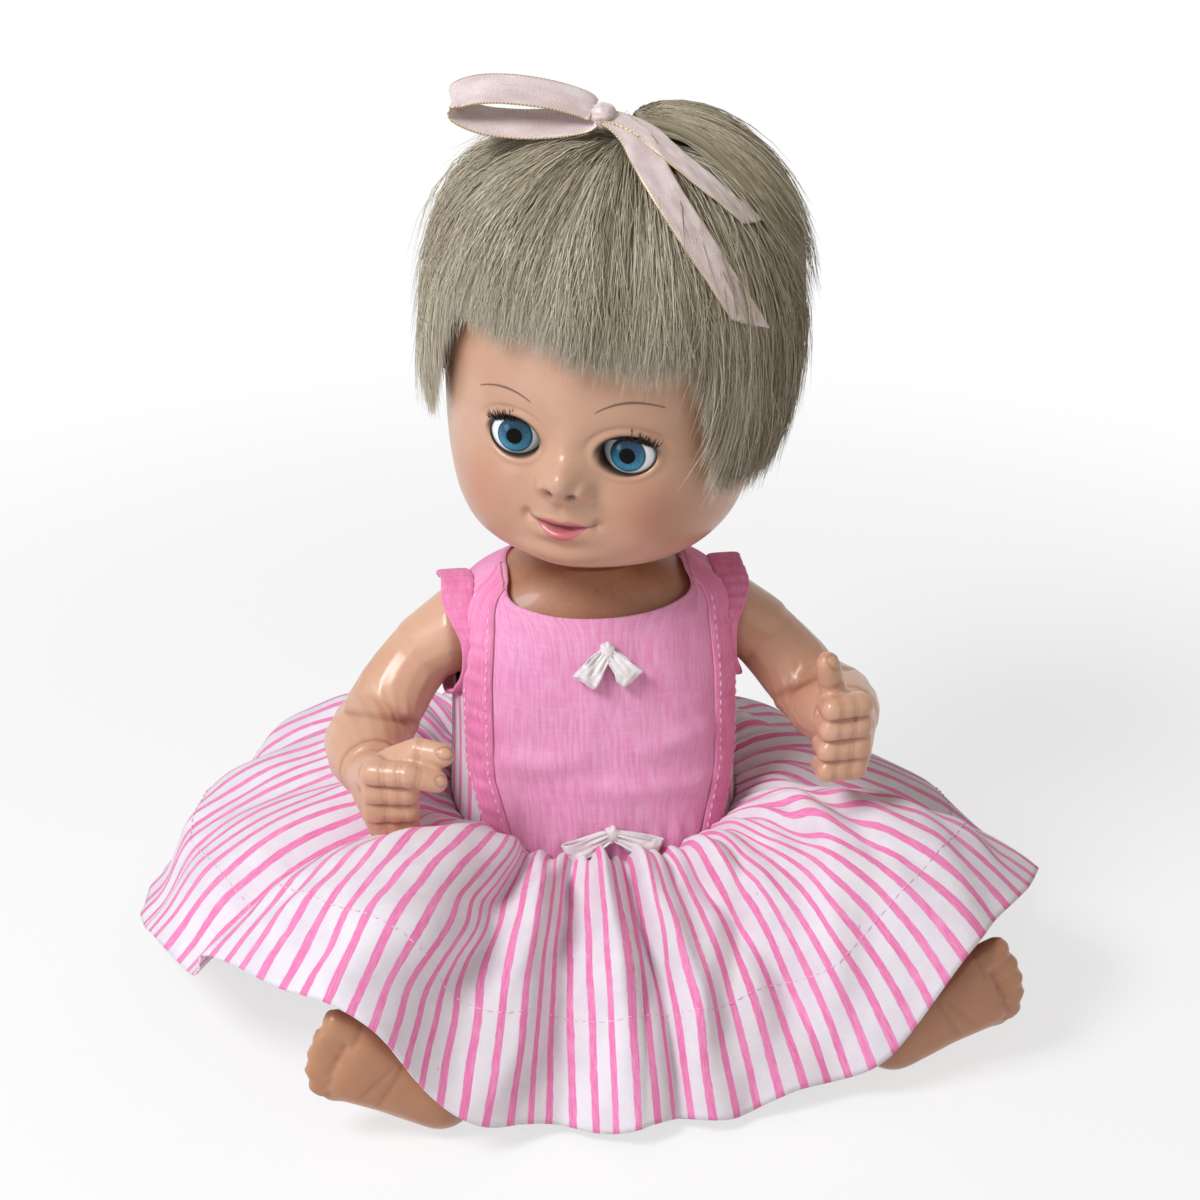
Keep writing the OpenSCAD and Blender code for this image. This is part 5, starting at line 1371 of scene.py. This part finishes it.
def strandSet(count, phiRange, startRange, lengths, lift, spread, fly):
    points = 6
    paths = np.zeros((count, points, 3))
    shade = np.zeros(count)
    tufts = np.sort(chance.uniform(-180, 180, hair["clumps"]))
    for k in range(count):
        phi = chance.uniform(*phiRange)
        end = hairEnd(lapped(phi))
        start = chance.uniform(*startRange) * end
        long = chance.uniform(*lengths)
        ragged = 3 * rough3(phi * 0.3, 8, 3, 1.0) + chance.normal(-0.5, 2.4)
        stop = min(start + long, end + ragged)
        if stop - start < hair["shortest"]:
            start = stop - hair["shortest"] - 10 * chance.random()
        start = max(start, 2.0)
        tuft = tufts[np.argmin(np.abs(tufts - phi))]
        pull = spread * chance.uniform(0.3, 1.0)
        drift = chance.normal(0, 2.4)
        high = chance.normal(lift, 0.10)
        wild = chance.random() < fly
        rise = chance.uniform(0.15, 0.6) if wild else chance.normal(0.0, 0.04)
        for j in range(points):
            u = j / (points - 1)
            a = lerp(start, stop, u)
            turn = lapped(lerp(phi, tuft, pull * u) + drift * u * u * (3 if wild else 1))
            tucked = 0 if wild else hair["tipTuck"] * ramp(u, 0.7, 1)
            share = lerp(0.45, high, min(1, u * 2.2)) + rise * u * u - tucked
            paths[k, j] = headAt @ hairPt(turn, a, share * (1 + hairFluff(turn, a)))
        broad, fine = rough3(tuft * 0.06, 4, 1, 1.0), rough3(tuft * 0.3, 2, 1, 1.0)
        shade[k] = strandTone(0.46, 0.24 * broad, 0.2 * fine, chance.normal(0, 0.12))
    return paths, shade


# Count, turns round the head, where they start, lengths, lift, pull to tufts, share of wild ones, paler by;
# the sets on the doll's right, towards the lamp, are painted paler as light and the left side set darker as
# painted shade
hairSets = {
    "fringeHair": (5700, (-62, 4), (0.05, 0.58), (44, 90), 0.95, 0.42, 0.04, 0.10),
    "leftFringeHair": (5700, (-4, 62), (0.05, 0.58), (44, 90), 0.95, 0.42, 0.04, 0.0),
    "rightSideHair": (5300, (-182, -48), (0.05, 0.66), (52, 105), 0.95, 0.4, 0.04, 0.08),
    "leftSideHair": (5300, (42, 182), (0.05, 0.66), (52, 105), 0.95, 0.4, 0.04, -0.16),
    "crownHair": (4700, (-180, 180), (0.02, 0.3), (40, 80), 1.06, 0.3, 0.14, -0.12),
    "looseHair": (700, (-180, 180), (0.05, 0.7), (20, 46), 1.1, 0.1, 0.9, 0.25)}


def makeHair():
    thick = np.array([0.20, 0.23, 0.22, 0.19, 0.13, 0.03]) * hair["thin"]
    for name, (*settings, pale) in hairSets.items():
        paths, shade = strandSet(*settings)
        # the paler-by offset paints light on the doll's right and shade on its left side hair
        shade = np.clip(shade + pale, 0.0, 0.999)
        thin = 0.5 if name == "looseHair" else 1
        strandPiece(name, paths, thick * thin, shade, look["hair"], "head")


def hairReach(d):
    deep = skull["front"] if d.y < 0 else skull["back"]
    inverse = (d.x / skull["halfW"]) ** 2 + (d.y / deep) ** 2 + (d.z / skull["crown"]) ** 2
    return hair["thick"] + 1 / math.sqrt(inverse)


def overHair(polar, azimuth, cross, lift):
    a = Vector((cosD(azimuth), sinD(azimuth), 0))
    b = Vector((-sinD(azimuth), cosD(azimuth), 0))
    d = (Vector((0, 0, cosD(polar))) + a * sinD(polar) + b * math.tan(math.radians(cross))).normalized()
    return Vector((0, 0, skull["mid"])) + d * (hairReach(d) + lift)


pony = {"azimuth": 24, "thick": 9, "strands": 4800, "bedEnd": 68, "end": 72}


def ponySpread(t):
    return 4 + 22 * sinD(min(1, 1.5 * t) * 90) ** 1.6 - 11 * t * t


def ponyRise(t, u):
    arch = math.sqrt(max(1 - u * u, 0.02))
    return pony["thick"] * arch * (0.45 + 0.75 * sinD(180 * max(t, 0.0) ** 0.6)) * (1 - 0.6 * t ** 6)


def makePonytail():
    def place(s, t):
        u = 1.9 * s - 0.95
        rise = 0.2 + 0.72 * ponyRise(t, u)
        return headAt @ overHair(lerp(1, pony["bedEnd"], t), pony["azimuth"], ponySpread(t) * u, rise)

    bm = sheetGrid(40, 50, place, lambda s, t: (s * 0.06, t * 0.08))
    bed = thicken(keep("ponytailBed", bm, look["hairBed"], "head"), 0.8, -1.0)
    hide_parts("ponytail")
    thick = np.array([0.18, 0.24, 0.25, 0.24, 0.20, 0.13, 0.03]) * hair["thin"]
    count, points = pony["strands"], len(thick)
    paths, shade = np.zeros((count, points, 3)), np.zeros(count)
    for k in range(count):
        u = chance.uniform(-1, 1)
        tuft = round(u * 9) / 9 + 0.03 * chance.normal()
        stop = chance.uniform(0.72, 1.04) if chance.random() < 0.8 else chance.uniform(0.4, 0.8)
        start = 0.0 if chance.random() < 0.75 else chance.uniform(0.0, 0.3)
        depth = 1 - 0.55 * chance.random() ** 2
        wild = chance.random() < 0.06
        bend = chance.normal(0, 0.06) + (chance.normal(0, 0.25) if wild else 0)
        lift = chance.uniform(1, 6) if wild else 0
        for j in range(points):
            w = j / (points - 1)
            t = lerp(start, stop, w)
            v = lerp(u, tuft, 0.6 * w) + bend * w * w
            rise = ponyRise(min(t, 1), max(-0.98, min(0.98, v))) * depth + 0.4 + lift * w * w
            cross = ponySpread(min(t, 1)) * v
            paths[k, j] = headAt @ overHair(lerp(1, pony["end"], t), pony["azimuth"], cross, rise)
        shade[k] = strandTone(0.33, 0.26 * rough3(tuft * 4, 2, 1, 1.0), chance.normal(0, 0.1))
    strandPiece("ponytailHair", paths, thick, shade, look["hair"], "head")


# Satin ribbon tied round the ponytail
tie = {"width": 13, "knot": 4.4, "knotHalf": (4.2, 5.0, 4.0), "loopLong": 46, "tailSteps": 40, "slant": 0.16,
       "wall": 0.45}
tieTails = (  # turn at the knot, turn at the end, angle down to the end, lift, share of the width, seed
    (-75, -29, 74, 1.6, 0.9, 2),
    (-60, -12, 46, 1.9, 0.75, 8))


def tieLoop(knot):
    reach = Vector((-0.96, -0.27, 0))
    path = []
    for k in range(49):
        a = math.radians(340 * k / 48 - 170)
        s = 0.5 * (1 + math.cos(a))
        out = reach * (tie["knot"] - 1.5 + tie["loopLong"] * s)
        path.append(headAt @ (knot + out + Vector((0, 0, 1 + math.sin(a) * (4.6 + 2 * s)))))
    across = headAt.to_3x3() @ Vector((0.25, -0.84, -0.48))
    return ribbonStrip(path, [across] * len(path), tie["width"], 14, 110, 0.25, 5)[0]


def tieTail(knot, az0, az1, end, lift, share, seed):
    steps = tie["tailSteps"]
    path = []
    for u in (k / steps for k in range(steps + 1)):
        rise = lift + 0.4 + 3 * bell(u, 0.12) + 0.6 * math.sin(5 * u)
        lying = overHair(lerp(5, end, u), lerp(az0, az1, u), 0, rise)
        path.append(knot.lerp(lying, ease(ramp(u, -0.02, 0.16))))
    across = []
    for k, p in enumerate(path):
        ahead = (path[min(k + 1, steps)] - path[max(k - 1, 0)]).normalized()
        across.append(headAt.to_3x3() @ (p - Vector((0, 0, skull["mid"]))).normalized().cross(ahead))
    strip, long = ribbonStrip([headAt @ p for p in path], across, tie["width"] * share, 14, 90, 0.3, seed)
    layer = strip.loops.layers.uv["cloth"]
    spot = {loop.vert: loop[layer].uv.copy() for f in strip.faces for loop in f.loops}
    gone = [f for f in strip.faces
            if all(spot[v].y > long * mm * (1 - tie["slant"] * (1 - spot[v].x)) for v in f.verts)]
    bmesh.ops.delete(strip, geom=gone, context="FACES")  # a slanting cut end
    return strip


def makeRibbon():
    knot = overHair(-8, pony["azimuth"], -3, 0.4 + tie["knot"])
    parts = [tieLoop(knot)] + [tieTail(knot, *row) for row in tieTails]

    def crumpled(d):
        ruck = rough3(d.x * 2, d.y * 2, d.z * 2, 1.0)
        pinch = 1 + 0.09 * math.sin(7 * math.atan2(d.z, d.y) + 2 * d.x) + 0.07 * ruck
        a, b, c = tie["knotHalf"]
        return headAt @ (knot + Vector((d.x * a, d.y * b, d.z * c)) * pinch)

    parts.append(satinKnot(36, 24, lambda d: (0.5 + d.y * 0.42, d.z * 0.01), crumpled))
    obj = thicken(joinPieces("hairRibbonSatin", parts, look["hairSatin"], "head"), tie["wall"])
    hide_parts("hair_ribbon")
    clothArea(obj) / (tie["width"] * mm)


makeHead()
makeEyes()
print("doll: head and eyes made")
makeHairBed()
makeHair()
makePonytail()
makeRibbon()
print("doll: hair combed and tied")

# Vinyl limbs: the solids' shapes, remeshed fine, softened and given creases and nails
limbs = {"armVoxel": 0.75, "legVoxel": 1.15, "softArm": 10, "softLeg": 14, "leftLift": 13,
         "fingerPitch": 7.6, "wrist": (35.5, -46, -28.0), "heel": (85, -104, 13.4), "soleLong": 42}
fingers = (4.7, 4.8, 4.6, 4.1)  # their radii
toes = (  # radius, share of the sole, place across it and length
    (5.4, 0.86, 12, 10), (4.4, 0.9, 4.6, 9), (4.2, 0.89, -1.6, 8.4), (4, 0.86, -7.4, 7.6),
    (3.7, 0.8, -12.4, 6.4))


def softLimb(node, name, voxel, rounds):
    mesh = frame["nodes"][node].data.copy()
    mesh.materials.clear()
    bm = bmesh.new()
    bm.from_mesh(mesh)
    bmesh.ops.remove_doubles(bm, verts=bm.verts, dist=weldGap)
    bm.to_mesh(mesh)
    bm.free()
    obj = bpy.data.objects.new(name, mesh)
    scene.collection.objects.link(obj)
    fine = obj.modifiers.new("fine", "REMESH")
    fine.mode, fine.voxel_size, fine.use_smooth_shade = "VOXEL", voxel * mm, True
    soft = obj.modifiers.new("soft", "SMOOTH")
    soft.factor, soft.iterations = 0.5, rounds
    bpy.context.view_layer.update()
    made = bpy.data.meshes.new_from_object(obj.evaluated_get(bpy.context.evaluated_depsgraph_get()))
    obj.modifiers.clear()
    obj.data = made
    made.name = name
    return obj


def carve(obj, toLocal, creases, nails):
    mesh = obj.data
    co = readArray(mesh.vertices, "co", 3).astype(float)
    normal = readArray(mesh.vertex_normals, "vector", 3)
    flat = np.array(toLocal)
    local = (co / mm) @ flat[:3, :3].T + flat[:3, 3]
    localNormal = normal @ flat[:3, :3].T
    # tone holds the painted shade for the creases and the nail grooves
    depth, tone = np.zeros(len(co)), np.zeros(len(co))
    for at, way, reach, width, deep, facing in creases:
        way = np.array(way, float) / np.linalg.norm(way)
        gap = local - np.array(at)
        along = gap @ way
        aside = np.linalg.norm(gap - along[:, None] * way, axis=1)
        cut = np.exp(-(along / width) ** 2) * np.clip((reach - aside) / (0.3 * reach), 0, 1)
        if facing is not None:
            cut *= np.clip((localNormal @ np.array(facing, float)) * 2.2 + 0.3, 0, 1)
        depth -= deep * cut
        tone = np.maximum(tone, cut * min(1, deep * 1.2))
    for at, way, up, wide, long in nails:
        way = np.array(way, float) / np.linalg.norm(way)
        up = np.array(up, float) - way * (np.array(up, float) @ way)
        up /= np.linalg.norm(up)
        across = np.cross(way, up)
        gap = local - np.array(at)
        rho = np.sqrt(((gap @ across) / wide) ** 2 + ((gap @ up) / long) ** 2)
        facing = np.clip((localNormal @ way) * 2 - 0.3, 0, 1) * (np.abs(gap @ way) < 4)
        ring = np.exp(-((rho - 1) / 0.16) ** 2) * facing
        depth += facing * (0.18 * (rho < 0.9)) - 0.38 * ring
        tone = np.maximum(tone, 0.75 * ring)
    mesh.vertices.foreach_set("co", (co + normal * depth[:, None] * mm).astype(np.float32).ravel())
    mesh.attributes.new("crease", "FLOAT", "POINT").data.foreach_set("value", tone.astype(np.float32))
    mesh.update()


# A crease is a place, the way across it, its reach, width, depth and the side it shows on (None: all round)
# A nail is a place, the way it faces, the way it points, its half width and its half length
def handMarks(pointing):  # the right hand points, the left one holds its thumb up
    wrist, pitch = np.array(limbs["wrist"]), limbs["fingerPitch"]
    creases, nails = [], []

    def jointLines(start, end, shares, reach, width, deep, facing):
        for share in shares:
            creases.append((start + (end - start) * share, end - start, reach, width, deep, facing))

    for i, r in enumerate(fingers):
        straight = pointing and i == 0
        k = np.array([wrist[0] + 1.5 - 0.5 * i, wrist[1] - 17 + 0.8 * i, wrist[2] + 9.5 - pitch * i])
        m = k + np.array([-11, -4, 0.5] if straight else [-10.5, -3.4 + 0.6 * i, 0])
        tip = m + np.array([-10, -0.5, -3] if straight else [-0.5, 8.5, 0])
        jointLines(k, m, (0.30, 0.42, 0.78, 0.90), r * 1.25, 0.42, 0.34, (0, -1, 0.25))
        if straight:
            jointLines(m, tip, (0.25, 0.38), r * 1.25, 0.42, 0.34, (0, -1, 0.25))
            nails.append((tip + np.array([-1.6, -2.6, 1.6]), (-0.25, -0.8, 0.5), tip - m, 1.9, 2.5))
        if i:
            creases.append((k + np.array([-5, -2, pitch / 2]), (0, 0, 1), 9.5, 0.7, 0.75, (0, -1, 0)))
        creases.append((k + np.array([3.2, 2.5, 0]), (0.3, 1, 0), 3.0, 1.3, 0.55, (1, 0, 0)))
    thumb = wrist + np.array([-5, -9, 9.0])
    bend = thumb + np.array([-9, -5, 6] if pointing else [-3, -5, 8.0])
    end = thumb + np.array([-17, -9, 6] if pointing else [-5, -9, 16.0])
    nailAt = end + np.array([-0.6, -2.6, 2.2] if pointing else [2.0, -2.8, 0.8])
    nails.append((nailAt, (0, -0.75, 0.6) if pointing else (0.7, -0.7, 0.1), end - bend, 2.2, 2.8))
    jointLines(bend, end, (0.1, 0.22), 6.3, 0.45, 0.3, (0, -1, 0.3))
    elbow, inside = np.array([34, -13, -24.0]), (-0.9, -0.5, 0.5)
    creases.append((wrist + np.array([0.2, 3.0, 0]), (-0.05, -1, 0.05), 14, 1.0, 0.85, None))
    creases.append((elbow, (0.25, -0.5, -1), 20, 1.5, 1.0, inside))
    return creases, nails


def makeArms():
    for side, word in sides:
        obj = softLimb(word + "_arm", word + "VinylArm", limbs["armVoxel"], limbs["softArm"])
        lift = Matrix.Rotation(math.radians(limbs["leftLift"] if side > 0 else 0), 4, "X")
        shoulder = Matrix.Translation((-side * body["shoulderX"], 0, -body["shoulderZ"]))
        carve(obj, lift @ Matrix.Diagonal((side, 1, 1, 1)) @ shoulder, *handMarks(side < 0))
        seat(obj, look["vinyl"], word + "_arm")
        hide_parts(word + "_arm")


def footMarks(swing):
    way, across = np.array([0.86, 0, 0.51]), np.array([-0.51, 0, 0.86])
    heel, sole = np.array(limbs["heel"]) + swing, np.array([0, -8, 0])
    creases, nails = [], []
    for r, share, aside, long in toes:
        base = heel + way * limbs["soleLong"] * share + across * aside + np.array([0, -4, 0])
        tip = base + way * long
        creases.append((base + way * 2.5 + np.array([0, -2, 0]), way, r * 1.15, 0.8, 0.5, (0, -1, 0)))
        nails.append((tip + way * 1.2 + np.array([0, 2.4, 0.4]), (0.3, 0.9, 0.25), way, r * 0.42, r * 0.5))
    creases.append((heel + way * 20 + sole, way, 12, 0.9, 0.4, (0, -1, 0)))
    creases.append((heel + way * 25 + sole, way + across * 0.25, 10, 0.8, 0.35, (0, -1, 0)))
    ankle = np.array([81.5, -93, 15.0]) + swing * 0.84
    creases.append((ankle, (0.3, -0.95, 0), 20, 1.4, 0.9, None))
    return creases, nails


def makeLegs():
    for side, word in sides:
        swing = legs["swing"][side] * np.array([-1, -0.5, 0])
        obj = softLimb(word + "_leg", word + "VinylLeg", limbs["legVoxel"], limbs["softLeg"])
        carve(obj, Matrix.Diagonal((side, 1, 1, 1)), *footMarks(swing))
        seat(obj, look["legVinyl"], word + "_leg")
        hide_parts(word + "_leg")


makeArms()
makeLegs()
print("doll: vinyl limbs made")

# Solids that show as they are, with the finish of their slot
solids = {"crisp": 34}  # degrees between faces past which an edge stays sharp
for part in frame["record"]["subparts"]:
    if part["material_slot"] in look:
        obj = frame["nodes"][part["node"]]
        obj.data.materials.clear()
        obj.data.materials.append(look[part["material_slot"]].material)
        obj.data.polygons.foreach_set("use_smooth", [True] * len(obj.data.polygons))
        weld = obj.modifiers.new("weld", "WELD")
        weld.merge_threshold = weldGap
        crisp = obj.modifiers.new("crisp", "EDGE_SPLIT")
        crisp.split_angle = math.radians(solids["crisp"])
print("doll: inner pieces finished")
